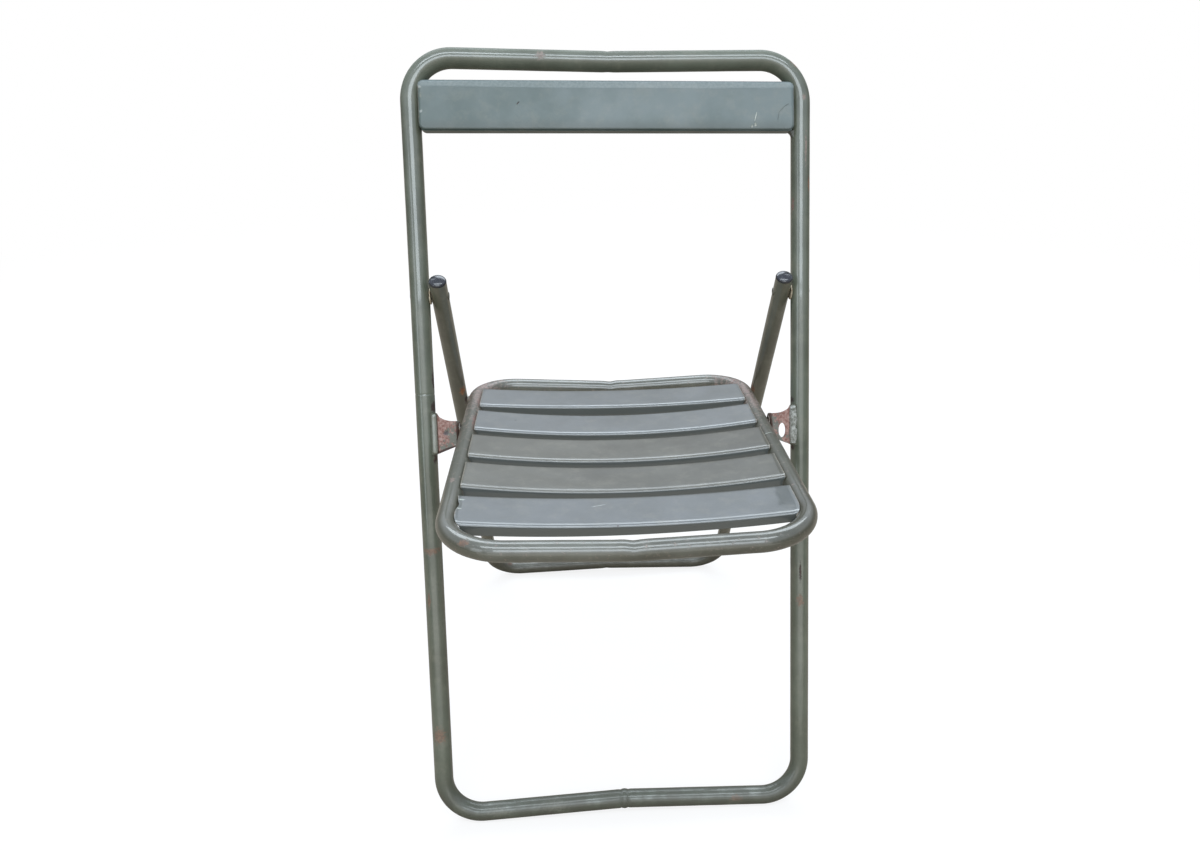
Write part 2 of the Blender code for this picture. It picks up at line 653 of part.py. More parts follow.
def make_rear_leg(floor):
    leg = add_part("rear_leg", tube_mesh("rear_leg", rear_leg_line(), REAR_TUBE), PAINT, LEG_HINGE)
    thicken(leg, TUBE_WALL)
    cut(leg, floor)
    inner_face = REAR_WIDTH / 2 - REAR_TUBE / 2
    for side, name in SIDES:
        hole = rod_mesh("rivet_hole_" + name, LEG_RIVET + 2 * GAP, -REAR_TUBE, REAR_TUBE)
        cut(leg, add_cutter("rivet_hole_" + name, hole, LEG_HINGE, (side * REAR_WIDTH / 2, 0, 0)))
        low, high = sorted((side * (inner_face - GAP), side * REAR_WIDTH / 2))
        cut(leg, add_cutter("slot_" + name, slab_mesh("slot_" + name, slot_outline(), low, high), LEG_HINGE))
        make_leg_cap(side, name)


def make_leg_cap(side, name):
    stem = REAR_TUBE / 2 - TUBE_WALL - GAP
    rim = GAP
    profile = dome(REAR_TUBE / 2, rim, CAP_DOME)
    profile += [(stem, rim), (stem, -CAP_STEM), (stem - CAP_WALL, -CAP_STEM), (stem - CAP_WALL, 0), (0, 0)]
    mesh = profile_mesh("rear_leg_cap_" + name, profile)
    cap = add_part("rear_leg_cap_" + name, mesh, PLASTIC, LEG_HINGE, (side * REAR_WIDTH / 2, 0, LEG_STUB))
    turn_profile(cap, "Z")


def make_seat_frame():
    mesh = tube_mesh("seat_frame", seat_loop(BUTT_GAP), SEAT_TUBE)
    frame = add_part("seat_frame", mesh, PAINT, SEAT_HINGE)
    thicken(frame, TUBE_WALL)
    for side, name in SIDES:
        hole = rod_mesh("seat_hole_" + name, SEAT_RIVET + 2 * GAP, -SEAT_TUBE, SEAT_TUBE)
        cut(frame, add_cutter("seat_hole_" + name, hole, SEAT_HINGE, (side * SEAT_WIDTH / 2, 0, 0)))
    make_sleeve(
        "seat_frame_sleeve",
        SEAT_TUBE - 2 * TUBE_WALL,
        SEAT_SLEEVE_LENGTH,
        (SEAT_WIDTH / 2, -SEAT_BUTT_SET, 0),
        SEAT_HINGE,
        math.pi / 2,
    )


def make_seat_trimmer():
    """The seat frame's loop, a gap larger all round, which trims the slats to meet it."""
    mesh = tube_mesh("seat_trimmer", seat_loop(0)[:-1], SEAT_TUBE + 2 * GAP, closed=True)
    return add_cutter("seat_trimmer", mesh, SEAT_HINGE)


def make_slat_field():
    """The field inside the seat frame that slats may cover, seen from above; its corners follow the bends."""
    inset = SEAT_TUBE / 2 - SLAT_LAP
    side = SEAT_WIDTH / 2 - inset
    front = inset - SEAT_PIVOT_SET
    rear = SEAT_LENGTH - SEAT_PIVOT_SET - inset
    edge = round_corners(
        [
            ((side, 0, 0), 0),
            ((side, front, 0), SEAT_FRONT_BEND - inset),
            ((-side, front, 0), SEAT_FRONT_BEND - inset),
            ((-side, rear, 0), SEAT_REAR_BEND - inset),
            ((side, rear, 0), SEAT_REAR_BEND - inset),
            ((side, 0, 0), 0),
        ]
    )
    mesh = slab_mesh("slat_field", [(point.y, point.x) for point in edge[:-1]], -SEAT_TUBE * 2, SEAT_TUBE * 2)
    field = add_cutter("slat_field", mesh, SEAT_HINGE)
    field.rotation_euler = (0, math.pi / 2, 0)
    return field


def make_rivet_rooms():
    """Rods round the seat rivets' heads, which notch any slat flange that meets one."""
    diameter = SEAT_RIVET_HEAD + 2 * GAP
    reach = SEAT_RIVET_DOME + 2 * GAP
    rooms = []
    for side, name in SIDES:
        low, high = sorted((side * (SEAT_INNER - reach), side * SEAT_WIDTH / 2))
        room = rod_mesh("rivet_room_" + name, diameter, low, high)
        rooms.append(add_cutter("rivet_room_" + name, room, SEAT_HINGE))
    return rooms


def slat_middle(index):
    """Where a slat's middle lies along the seat, from the seat pivot."""
    first = SLAT_END_SPACE + SLAT_WIDTH / 2
    pitch = (SEAT_LENGTH - 2 * first) / (len(SLAT_SAGS) - 1)
    return first + pitch * index - SEAT_PIVOT_SET


def slat_top(index, x):
    """Height of a slat's top at x, above the seat frame's centreline."""
    return SLAT_RISE - SLAT_SAGS[index] * (1 - (x / SEAT_INNER) ** 2)


def make_slat(index, field, trimmers):
    half = SLAT_WIDTH / 2
    section = [Vector((half, -SLAT_FLANGE))]
    section += fold_points((half, 0), SLAT_FOLD, (0, -1), (-1, 0))
    section += fold_points((-half, 0), SLAT_FOLD, (1, 0), (0, -1))
    section.append(Vector((-half, -SLAT_FLANGE)))
    reach = SEAT_WIDTH / 2
    stations = [reach * (2 * step / SLAT_STATIONS - 1) for step in range(SLAT_STATIONS + 1)]
    middle = slat_middle(index)
    rows = [[(x, middle + y, slat_top(index, x) + z) for y, z in section] for x in stations]
    name = f"seat_slat_{index + 1}"
    slat = add_part(name, loft_mesh(name, rows), PANEL_PAINT, SEAT_HINGE)
    thicken(slat, SLAT_SHEET)
    cut(slat, field, "INTERSECT")
    for trimmer in trimmers:
        cut(slat, trimmer)


def make_slide_pin(side, name):
    tip = REAR_WIDTH / 2 - REAR_TUBE / 2 + PIN_REACH
    radius = PIN / 2
    profile = [
        (0, tip),
        (radius - PIN_CHAMFER, tip),
        (radius, tip - PIN_CHAMFER),
        (radius, PIN_ROOT),
        (0, PIN_ROOT),
    ]
    mesh = profile_mesh("slide_pin_" + name, profile)
    pin = add_part("slide_pin_" + name, mesh, STEEL, SEAT_HINGE, (0, PIN_SET, -PIN_DROP))
    face_side(pin, side)
    turn_profile(pin, "Z")


clear_scene()
PARTS = new_collection("folding_chair")
CUTTERS = new_collection("cutters")
SIDES = ((-1, "left"), (1, "right"))

PAINT = new_material("olive_paint", (0.127, 0.150, 0.122), 0.45, 0.0)
PANEL_PAINT = new_material("grey_green_paint", (0.200, 0.245, 0.230), 0.42, 0.0)
RUST = new_material("rusted_paint", (0.140, 0.080, 0.060), 0.75, 0.0)
STEEL = new_material("dull_steel", (0.250, 0.240, 0.220), 0.50, 1.0)
PALE_WASHER = new_material("pale_washer", (0.480, 0.420, 0.330), 0.55, 0.0)
PLASTIC = new_material("black_plug", (0.012, 0.014, 0.022), 0.25, 0.0)

FRAME_LEAN = new_hinge("frame_lean", Vector((0, FOOT_HEIGHT)), -MAIN_LEAN)
SEAT_HINGE = new_hinge("seat_hinge", SEAT_PIVOT, -SEAT_TILT)
LEG_HINGE = new_hinge("rear_leg_hinge", LEG_PIVOT, REAR_LEAN)

floor_cutter = make_floor_cutter()
make_main_frame(floor_cutter)
main_trimmer = make_main_trimmer()
make_backrest_panel(main_trimmer)
make_rear_leg(floor_cutter)
make_seat_frame()
slat_field = make_slat_field()
slat_trimmers = [make_seat_trimmer(), *make_rivet_rooms()]
for slat_index in range(len(SLAT_SAGS)):
    make_slat(slat_index, slat_field, slat_trimmers)
for side_sign, side_name in SIDES:
    make_bracket(side_sign, side_name, main_trimmer)
    make_seat_pivot(side_sign, side_name)
    make_leg_pivot(side_sign, side_name)
    make_slide_pin(side_sign, side_name)
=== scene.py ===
"""The looks of the steel folding chair: fine painted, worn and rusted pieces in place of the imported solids.

Metres, +Z up, +Y towards the back of the chair. Each piece is shaped in the frame of its own sub-assembly
(the leaning main frame, the tilted seat or the slanting rear leg) and then set in the shared frame.
"""

import json
from math import atan2, ceil, copysign, cos, exp, hypot, pi, radians, sin, sqrt, tan, tau

import bmesh
import bpy
from mathutils import Matrix, Vector, noise


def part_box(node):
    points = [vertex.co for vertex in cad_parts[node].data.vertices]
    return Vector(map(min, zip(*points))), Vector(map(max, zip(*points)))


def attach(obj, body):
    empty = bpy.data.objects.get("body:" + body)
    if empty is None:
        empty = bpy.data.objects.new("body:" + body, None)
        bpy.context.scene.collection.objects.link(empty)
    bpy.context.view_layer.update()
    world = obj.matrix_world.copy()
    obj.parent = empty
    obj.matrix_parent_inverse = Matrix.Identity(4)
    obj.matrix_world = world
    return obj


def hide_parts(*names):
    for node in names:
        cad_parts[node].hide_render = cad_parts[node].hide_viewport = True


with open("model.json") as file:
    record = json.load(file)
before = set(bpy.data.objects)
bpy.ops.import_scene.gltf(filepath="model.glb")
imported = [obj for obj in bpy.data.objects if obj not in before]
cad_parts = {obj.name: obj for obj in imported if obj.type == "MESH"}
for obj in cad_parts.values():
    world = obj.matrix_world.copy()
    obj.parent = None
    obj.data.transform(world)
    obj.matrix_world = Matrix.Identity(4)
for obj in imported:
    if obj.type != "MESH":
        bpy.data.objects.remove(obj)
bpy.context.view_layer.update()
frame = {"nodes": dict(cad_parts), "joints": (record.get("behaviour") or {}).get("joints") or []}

SIDES = ((-1, "left"), (1, "right"))
JOINTS = {joint["name"]: joint for joint in frame["joints"]}

# Sizes of the main frame
MAIN_RADIUS = 0.010
MAIN_WIDTH = 0.400
MAIN_LENGTH = 0.804
MAIN_LEAN = radians(22.0)
MAIN_BEND = 0.0425
TOP_BAR_DIP = 0.0032
FOOT_BAR_RISE = 0.007
MAIN_BUTT_HEIGHT = 0.467
SEAT_PIVOT_HEIGHT = 0.4295
LEG_PIVOT_HEIGHT = 0.568

# Sizes of the backrest panel
PANEL_REACH = 0.1912
PANEL_TOP = 0.7802
PANEL_BOTTOM = 0.731
PANEL_FRONT = -0.0118
PANEL_LIP = 0.014
PANEL_TOP_FOLD = 0.0042
PANEL_BOTTOM_FOLD = 0.0020
PANEL_CORNER = 0.0065
PANEL_SHEET = 0.0012
PANEL_WAVE = 0.00035
PANEL_WAVE_EDGE = 0.012
PANEL_FILLET = 0.0055

# Sizes of the rear leg
REAR_RADIUS = 0.009
REAR_WIDTH = 0.359
REAR_LENGTH = 0.585295
REAR_LEAN = radians(25.5)
REAR_BEND = 0.044
REAR_BAR_RISE = 0.009
LEG_STUB = 0.019
TUBE_WALL = 0.0015
SLOT_HALF = 0.0045
SLOT_STATIONS = 13
CAP_DOME = 0.0042
CAP_RIM = 0.0009
CAP_PLUG = 0.010

# Sizes of the seat
SEAT_RADIUS = 0.009
SEAT_WIDTH = 0.311
SEAT_FRONT = -0.248
SEAT_LENGTH = 0.379026
SEAT_TILT = radians(3.1)
SEAT_FRONT_BEND = 0.0515
SEAT_REAR_BEND = 0.045
SEAT_FRONT_DIP = 0.0055
SEAT_REAR_DIP = 0.0075
SEAT_BUTT_SET = 0.050
SLAT_SAGS = (0.0073, 0.0105, 0.0105, 0.010, 0.0055)
SLAT_DROPS = (0.0017, 0, 0, 0, 0)
FRONT_DROOP = 0.9
FRONT_DROOP_FROM = 0.06
SLAT_WIDTH = 0.052
SLAT_END_SPACE = 0.033
SLAT_FLANGE = 0.0115
SLAT_ROLL = 0.010
SLAT_ROLL_TO = radians(74.0)
SLAT_TURN = 0.0032
SLAT_BEVEL = 0.0007
SLAT_BEVEL_AT = radians(55.0)
SLAT_EDGE = 0.0019
SLAT_SHEET = 0.0012
SLAT_RISE = 0.009
SLAT_LAP = 0.002
SLAT_WAVE = 0.00016
SLAT_WAVE_EDGE = 0.008

# Dents and swellings of the tubes, and the front slat's torn end: height and reach
BUTT_GROOVE = (0.00022, 0.0008)
SEAT_BUTT_GROOVE = (0.0005, 0.0006)
TOP_KINK = (0.0004, 0.004)
FOOT_COLLAR = (0.0005, 0.0024)
COLLAR_GROOVE = (0.0004, 0.0012)
COLLAR_HALF = 0.0042
SEAT_KINK = (0.0007, 0.006)
SEAT_RIDGE = (0.0003, 0.005)
SEAT_RIDGE_SET = 0.009
LEG_KINK = (0.0005, 0.005)
TUBE_RIPPLE = 0.00007
SLAT_TEAR = (0.0024, 0.0075)
SLAT_TEAR_AT = -0.182

# Sizes of the brackets
BRACKET_SHEET = 0.0016
BRACKET_WEB_FRONT = 0.0063
BRACKET_WEB_START = 0.0135
BRACKET_FLANGE = 0.0331
BRACKET_FOLD = 0.0024
BRACKET_SADDLE_FROM = radians(58.0)
BRACKET_SADDLE_TO = radians(20.0)
BRACKET_ROOT_HEIGHT = 0.044
BRACKET_TIP_HEIGHT = 0.026
BRACKET_SHOULDER = 3
BRACKET_DROP = 0.004
BRACKET_EYE = 0.011
BRACKET_EYE_DRAW = 0.0066
BRACKET_MARK_SET = 0.0212
DIMPLE_RADIUS = 0.0034
DIMPLE_DEPTH = 0.0009
DIMPLE_DROP = 0.003
BRACKET_WAVE = 0.00018
HOLE_WIDTH = 0.0075
HOLE_HEIGHT = 0.0155
HOLE_DROP = 0.0095
WELD_RADII = {"left": 0.0029, "right": 0.0041}
WELD_LUMPS = {"left": 0.00016, "right": 0.0009}
WELD_SHORT = 0.001
WELD_STEPS = 20
WELD_GRAIN = 420
WELD_RIPPLE = 0.4
WELD_RIPPLES = 1700
WELD_TIP = 0.97

# Sizes of the rivets, washers and studs
WASHER_EDGE = 0.0003
LEG_WASHER = (0.0033, 0.0085, 0.0009)
SEAT_WASHER = (0.0028, 0.0065, 0.001)
SEAT_RIVET_HEAD = (0.0041, -0.0004, 0.0023, 0.0006)
STUD_TIP_ROUND = 0.0011
STUD_ROOT_ROUND = 0.0006

# Fineness of the meshes
GAP = 0.0003
TUBE_SIDES = 40
TUBE_STEP = 0.003
ARC_STEP = radians(2)
KINK_BEND = 0.060
TURNED_STEPS = 48
FOLD_STEPS = 8
PANEL_STEP = 0.006
PANEL_ROW = 0.004
SLAT_STEPS = 72
SLAT_FLAT_STEPS = 14
BRACKET_STEPS = 22
BRACKET_ROWS = 30
SPOT_STEPS = (0.0002, 0.0005, 0.0009, 0.0014, 0.0022, 0.003)
LIP_STEPS = 3
SHARP_EDGE = radians(38)
EDGE_ROUND = 0.00035
BEVEL_FROM = radians(50)

# Local frames of the three sub-assemblies
SEAT_PIVOT = Vector(JOINTS["seat_fold"]["pos_m"])
LEG_PIVOT = Vector(JOINTS["rear_leg_fold"]["pos_m"])
LEAN_UP = Vector((0, sin(MAIN_LEAN), cos(MAIN_LEAN)))
MAIN = Matrix.Translation(SEAT_PIVOT - SEAT_PIVOT_HEIGHT * LEAN_UP) @ Matrix.Rotation(-MAIN_LEAN, 4, "X")
SEAT = Matrix.Translation(SEAT_PIVOT) @ Matrix.Rotation(-SEAT_TILT, 4, "X")
LEG = Matrix.Translation(LEG_PIVOT) @ Matrix.Rotation(REAR_LEAN, 4, "X")


def tone(red, green, blue):
    """A colour as a screen shows it, each 0 to 255, as a shader's linear colour."""
    shares = [value / 255 for value in (red, green, blue)]
    return tuple(((share + 0.055) / 1.055) ** 2.4 for share in shares) + (1.0,)


def metres(millimetres):
    return [value / 1000 for value in millimetres]


class Nodes:
    """Shorthand for building one tree of shader nodes."""

    def __init__(self, tree):
        self.tree = tree
        self.coordinates = self.node("ShaderNodeTexCoord", {}).outputs

    def node(self, kind, inputs, **settings):
        made = self.tree.nodes.new(kind)
        for key, value in settings.items():
            setattr(made, key, value)
        for key, value in inputs.items():
            self.feed(made.inputs[key], value)
        return made

    def feed(self, socket, value):
        if isinstance(value, bpy.types.NodeSocket):
            self.tree.links.new(value, socket)
        else:
            socket.default_value = value

    def math(self, operation, first, second=0.0):
        return self.node("ShaderNodeMath", {0: first, 1: second}, operation=operation).outputs[0]

    def plus(self, first, second):
        return self.math("ADD", first, second)

    def times(self, first, second):
        return self.math("MULTIPLY", first, second)

    def most(self, first, second):
        return self.math("MAXIMUM", first, second)

    def absolute(self, value):
        return self.math("ABSOLUTE", value)

    def vector(self, operation, first, second=(0, 0, 0)):
        return self.node("ShaderNodeVectorMath", {0: first, 1: second}, operation=operation).outputs

    def dot(self, first, second):
        return self.vector("DOT_PRODUCT", first, second)["Value"]

    def ramp(self, value, low, high, start=0.0, end=1.0):
        inputs = {"Value": value, "From Min": low, "From Max": high, "To Min": start, "To Max": end}
        return self.node("ShaderNodeMapRange", inputs, interpolation_type="SMOOTHSTEP").outputs[0]

    def mix(self, share, first, second):
        made = self.node("ShaderNodeMix", {"Factor": share}, data_type="RGBA")
        self.feed(made.inputs[6], first)
        self.feed(made.inputs[7], second)
        return made.outputs[2]


class Finish(Nodes):
    """One material, with a colour and a share of wear that grow as layers are laid over it."""

    def __init__(self, name):
        self.material = bpy.data.materials.new(name)
        self.material.use_nodes = True
        super().__init__(self.material.node_tree)
        self.shader = self.tree.nodes["Principled BSDF"]
        self.place = self.coordinates["Object"]
        self.normal = self.coordinates["Normal"]
        self.axes = self.node("ShaderNodeSeparateXYZ", {0: self.place}).outputs
        self.aside = self.absolute(self.axes["X"])
        self.colour = None
        self.worn = 0.0

    def set(self, **inputs):
        for key, value in inputs.items():
            self.feed(self.shader.inputs[key.replace("_", " ")], value)
        return self.material

    def noise(self, scale, detail=2.0, rough=0.5, shift=0.0):
        where = self.vector("SUBTRACT", self.place, (shift, shift, shift))[0]
        inputs = {"Vector": where, "Scale": scale, "Detail": detail, "Roughness": rough}
        return self.node("ShaderNodeTexNoise", inputs).outputs[0]

    def bump(self, height, distance):
        inputs = {"Height": height, "Distance": distance, "Strength": 1.0}
        return self.node("ShaderNodeBump", inputs).outputs[0]

    def near(self, place, reach, ragged, edge):
        """A mask round a place: 1 inside, falling to 0 at its reach, with an edge that a noise tears."""
        away = self.vector("SUBTRACT", self.place, metres(place))[0]
        share = self.vector("MULTIPLY", away, [1 / size for size in metres(reach)])[0]
        torn = self.plus(self.vector("LENGTH", share)["Value"], ragged)
        return self.ramp(torn, 1.0, 1.0 - edge)

    def streak(self, start, end, normal, width):
        """A mask along a thin line on a surface with this normal; width is half the line's width."""
        start, end = Vector(metres(start)), Vector(metres(end))
        middle = (start + end) / 2
        half = end - middle
        across = Vector(normal).cross(half).normalized() * 1000 / width
        away = self.vector("SUBTRACT", self.place, middle)[0]
        total = 0.0
        for axis in (half / half.length_squared, across):
            share = self.dot(away, axis)
            total = self.plus(self.times(share, share), total)
        return self.ramp(total, 1.0, 0.4)

    def tint(self, mask, colour):
        self.colour = self.mix(mask, self.colour, colour)

    def wear(self, mask):
        self.worn = self.most(self.worn, mask)

    def show(self, mask, shades, patch):
        """Wears the paint in a mask and lays two colours there that a patchy noise mingles: mostly bare or
        rusted paint, at some marks a painted highlight or painted shade.
        """
        first, second, cover = shades
        mask = self.times(mask, cover)
        self.tint(mask, self.mix(patch, first, second))
        self.wear(mask)

    def mark(self, marks, ragged, edge, patch):
        for place, reach, shades in marks:
            self.show(self.near(place, reach, ragged, edge), shades, patch)

    def lay_lines(self, streaks, patch):
        for *line, shades in streaks:
            self.show(self.streak(*line), shades, patch)


# Wear and rust, and some painted highlights and painted shade: two colours that mingle, and how much they
# cover the paint
RUST = (tone(142, 98, 72), tone(100, 70, 56), 0.75)
FAINT_RUST = (tone(142, 103, 80), tone(112, 84, 70), 0.62)
RED_PRIMER = (tone(134, 98, 88), tone(106, 78, 70), 0.75)
PINK_PRIMER = (tone(162, 138, 130), tone(134, 114, 106), 0.58)
FAINT_PINK = (*PINK_PRIMER[:2], 0.52)
# Dark rust, also laid as painted shade along the left bracket's lower edge.
DARK_RUST_AND_SHADE = (tone(66, 42, 34), tone(40, 30, 26), 0.95)
ORANGE_RUST = (tone(178, 112, 64), tone(120, 76, 50), 0.85)
# Dark red on the brackets' backward-turned flanges: rust, darkened further as painted shade.
LEFT_FLANGE_RUST_AND_SHADE = (tone(84, 56, 48), tone(60, 42, 36), 0.9)
RIGHT_FLANGE_RUST_AND_SHADE = (tone(92, 66, 56), tone(66, 46, 38), 0.9)
# Dark grey inside the left bracket's dimple: painted shade in the recess.
DIMPLE_SHADE = (tone(88, 80, 82), tone(70, 64, 66), 0.95)
# A pale bluish band along the panel's top edge: a painted highlight.
TOP_EDGE_HIGHLIGHT = (tone(170, 180, 182), tone(150, 161, 162), 0.42)
# Pale scratches, also laid as a painted glint at the seat tube's butt joint.
PALE_SCRATCH_AND_GLINT = (tone(214, 218, 208), tone(176, 182, 172), 0.95)
FAINT_SCRATCH = (tone(196, 200, 196), tone(176, 180, 176), 0.6)
FAINT_LINE = (tone(74, 82, 80), tone(64, 72, 70), 0.5)
PALE_DIRT = (tone(160, 160, 146), tone(138, 138, 124), 0.4)
BARE_END = (tone(160, 154, 140), tone(130, 116, 98), 0.7)
DUST_TONE = tone(146, 142, 126)
SCUFF_TONE = tone(62, 60, 42)
GROUND_TONE = tone(58, 57, 47)
LOW_DARKENING_TONE = tone(52, 57, 48)

# Grain of the paint: scale of the noise, detail, roughness and shift
BLOTCHES = (16, 4, 0.6)
DUST = (60, 6, 0.7, 2.2)
CHIPS = (240, 5, 0.65, 3.1)
SPECKS = (240, 6, 0.7, 6.4)
TEARS = (360, 6, 0.75)
PATCHES = (420, 4, 0.7, 1.7)
SMUDGES = (28, 3, 0.5, 5.3)
PEEL = (110, 3)
# Values of the noise between which each layer sets in, and from what share to what share
BLOTCH_SPREAD = (0.32, 0.68)
DUST_SPREAD = (0.45, 0.75, 0.0, 0.2)
DIRT_SPREAD = (0.25, 0.60, 0.35, 1.0)
CHIP_SPREAD = (0.72, 0.77)
SPECK_SPREAD = (0.56, 0.74, 0.0, 0.6)
PATCH_SPREAD = (0.40, 0.60)
SMUDGE_SPREAD = (0.35, 0.70)
# Strengths of the layers
CHIP_COVER = 0.75
TEAR_SIZE = 3.2
MARK_EDGE = 0.6
SIDE_COVER = 0.5
SIDE_WEAR = 0.55
REAR_SPECKS = 0.17
GROUND_COVER = 0.65
GROUND_WEAR = 0.6
LOW_DARKENING_COVER = 0.45
DUST_FILM = 0.85
UNDERSIDE_WEAR = 0.8
SMUDGE_DULLS = 0.10
WEAR_DULLS = 0.35
PEEL_HEIGHT = 0.000022
PAINT_THICKNESS = 0.00012

# Where the paint changes: heights near the floor, the seat's sides and its front, a cut end's ragged edge
GROUND_HEIGHTS = (0.075, 0.02)
SEAT_SIDES = (0.105, 0.140)
BEHIND_FRONT = (-0.205, -0.165)
END_RAGGED = 0.0012
END_WIDTH = 0.002

# Marks in millimetres: place, reach along each axis, colours
MAIN_MARKS = (
    ((-68.3, 103, 757.5), (6, 6, 5), PINK_PRIMER),
    ((203.7, 71, 674), (1.6, 10, 26), PINK_PRIMER),
    ((201.5, 89.1, 720.6), (2.2, 3, 3.4), PINK_PRIMER),
    ((208.5, 59, 640), (3, 6, 13), RUST),
    ((193, 108, 748), (9, 6, 12), RUST),
    ((190.8, 53, 621.5), (1.6, 5, 11), RED_PRIMER),
    ((-199.2, -84.9, 290.5), (13, 11, 4.4), FAINT_RUST),
    ((-205, -103.9, 241.8), (2.2, 6, 15), FAINT_RUST),
    ((-201, -161.3, 99.8), (8, 10, 13), FAINT_RUST),
    ((198.2, -112, 226.1), (5, 7, 8), FAINT_RUST),
    ((198.5, -99.1, 255.5), (1.6, 8, 14), DARK_RUST_AND_SHADE),
    ((-190.5, -22.4, 430), (4.5, 8, 7), DARK_RUST_AND_SHADE),
    ((-190.6, -43, 380), (3.6, 7, 6.5), DARK_RUST_AND_SHADE),
    ((190.4, -22.2, 428.5), (3, 5, 4.8), DARK_RUST_AND_SHADE),
    ((190.8, -42.7, 381.7), (2.6, 5, 3.4), DARK_RUST_AND_SHADE),
    ((124.9, -195, 15), (9, 6, 5), FAINT_RUST),
    ((-78.7, -194.2, 18.8), (19, 9, 8), PALE_DIRT),
    ((-140, -194.2, 15), (15, 9, 6), PALE_DIRT),
    ((-190.3, -10, 456), (1.2, 8, 15), DARK_RUST_AND_SHADE),
)
SEAT_MARKS = (
    ((-149, 86, 408), (7, 20, 6), FAINT_PINK),
    ((-153, 50, 408), (6, 32, 8), FAINT_PINK),
    ((-150, 30, 408), (3.5, 15, 6), RED_PRIMER),
    ((-150, -25, 412), (3, 26, 5), RED_PRIMER),
    ((-157, -164.4, 423), (3, 6, 4), PINK_PRIMER),
    ((-136.3, -271.1, 424.9), (7.5, 4, 3), FAINT_RUST),
    ((153.3, 50, 410.5), (6, 28, 7), FAINT_PINK),
    ((156, 8, 413), (4.5, 26, 6), FAINT_PINK),
    ((150, 80, 406), (8, 9, 7), RED_PRIMER),
    ((146, 25, 410), (2.5, 30, 5), RED_PRIMER),
)
LEG_MARKS = (
    ((-173.8, 79.5, 403), (4.5, 6, 8.5), ORANGE_RUST),
    ((-171.8, 89, 389), (2.6, 6, 9), DARK_RUST_AND_SHADE),
    ((171.2, 87, 395), (4, 6, 8.5), RUST),
    ((-152.7, 269.3, 20.9), (8, 6, 3), RUST),
)
PANEL_MARKS = (
    ((150.2, 76.4, 695), (1.7, 3, 2.6), PALE_SCRATCH_AND_GLINT),
    ((146.4, 75.8, 693.8), (1.3, 3, 1.3), PALE_SCRATCH_AND_GLINT),
    ((177.3, 91.2, 731.7), (1.6, 3, 1), FAINT_LINE),
    ((-188, 87, 721.2), (1.1, 3, 3), PALE_DIRT),
    ((-188.5, 81.6, 706.9), (1.8, 3, 2), FAINT_SCRATCH),
    ((-189, 90.5, 728.5), (2.2, 3, 2.2), FAINT_SCRATCH),
)
SLAT_MARKS = (
    ((-144, -200, 423), (3, 1.2, 4), PALE_SCRATCH_AND_GLINT),
    ((-145, -216, 424), (2.4, 1.2, 4), PALE_SCRATCH_AND_GLINT),
    ((-10.5, -242.1, 417), (0.8, 1.2, 1.1), DARK_RUST_AND_SHADE),
    ((-107, -16.9, 410.3), (2.2, 0.8, 4), DARK_RUST_AND_SHADE),
    ((-35.1, 0.9, 404.5), (4, 1, 4), DARK_RUST_AND_SHADE),
)
BRACKET_MARKS = (
    ((-178.8, -34.4, 406), (3.4, 6, 3.4), DIMPLE_SHADE),
    ((-167.2, -30, 405), (2.2, 16, 16), LEFT_FLANGE_RUST_AND_SHADE),
    ((167.2, -30, 405), (2.2, 16, 16), RIGHT_FLANGE_RUST_AND_SHADE),
)
# Thin lines in millimetres: both ends, the normal of the surface, half the width, colours
PANEL_NORMAL = MAIN.to_3x3() @ Vector((0, -1, 0))
SEAT_AHEAD = SEAT.to_3x3() @ Vector((0, -1, 0))
UP = (0, 0, 1)
# The line along the panel's top edge that carries its painted highlight.
PANEL_HIGHLIGHT_EDGE = [1000 * (MAIN @ Vector((x, PANEL_FRONT, PANEL_TOP - PANEL_TOP_FOLD))) for x in (-0.30, 0.30)]
PANEL_STREAKS = (
    (*PANEL_HIGHLIGHT_EDGE, PANEL_NORMAL, 5.2, TOP_EDGE_HIGHLIGHT),
    ((-93.4, 83.6, 712.8), (-90.2, 84.9, 716), PANEL_NORMAL, 0.6, DARK_RUST_AND_SHADE),
    ((151.7, 81.6, 707.8), (149, 77.5, 697.7), PANEL_NORMAL, 0.5, PALE_SCRATCH_AND_GLINT),
    ((186.2, 84.6, 715.3), (179.2, 83.1, 711.5), PANEL_NORMAL, 0.6, FAINT_LINE),
    ((180.6, 83.4, 712.2), (174.4, 81.1, 706.6), PANEL_NORMAL, 0.6, FAINT_LINE),
    ((174.9, 81.5, 708), (173.4, 78, 698.8), PANEL_NORMAL, 0.6, FAINT_LINE),
)
SLAT_STREAKS = (((-33.3, -209.8, 416.5), (-17.8, -204.5, 416), UP, 0.6, FAINT_SCRATCH),)
# A white line round the right seat tube at its butt joint: a painted glint.
SEAT_GLINT_LINES = (((145, -77.6, 417.5), (162, -77.6, 417.5), UP, 1, PALE_SCRATCH_AND_GLINT),)
# A dark line along the left bracket's lower edge: painted shade where its turned-under rim lies in shadow.
BRACKET_SHADED_EDGE = ((-190.5, -43.1, 386.2), (-167, -40.6, 393.7), PANEL_NORMAL, 1.9, DARK_RUST_AND_SHADE)


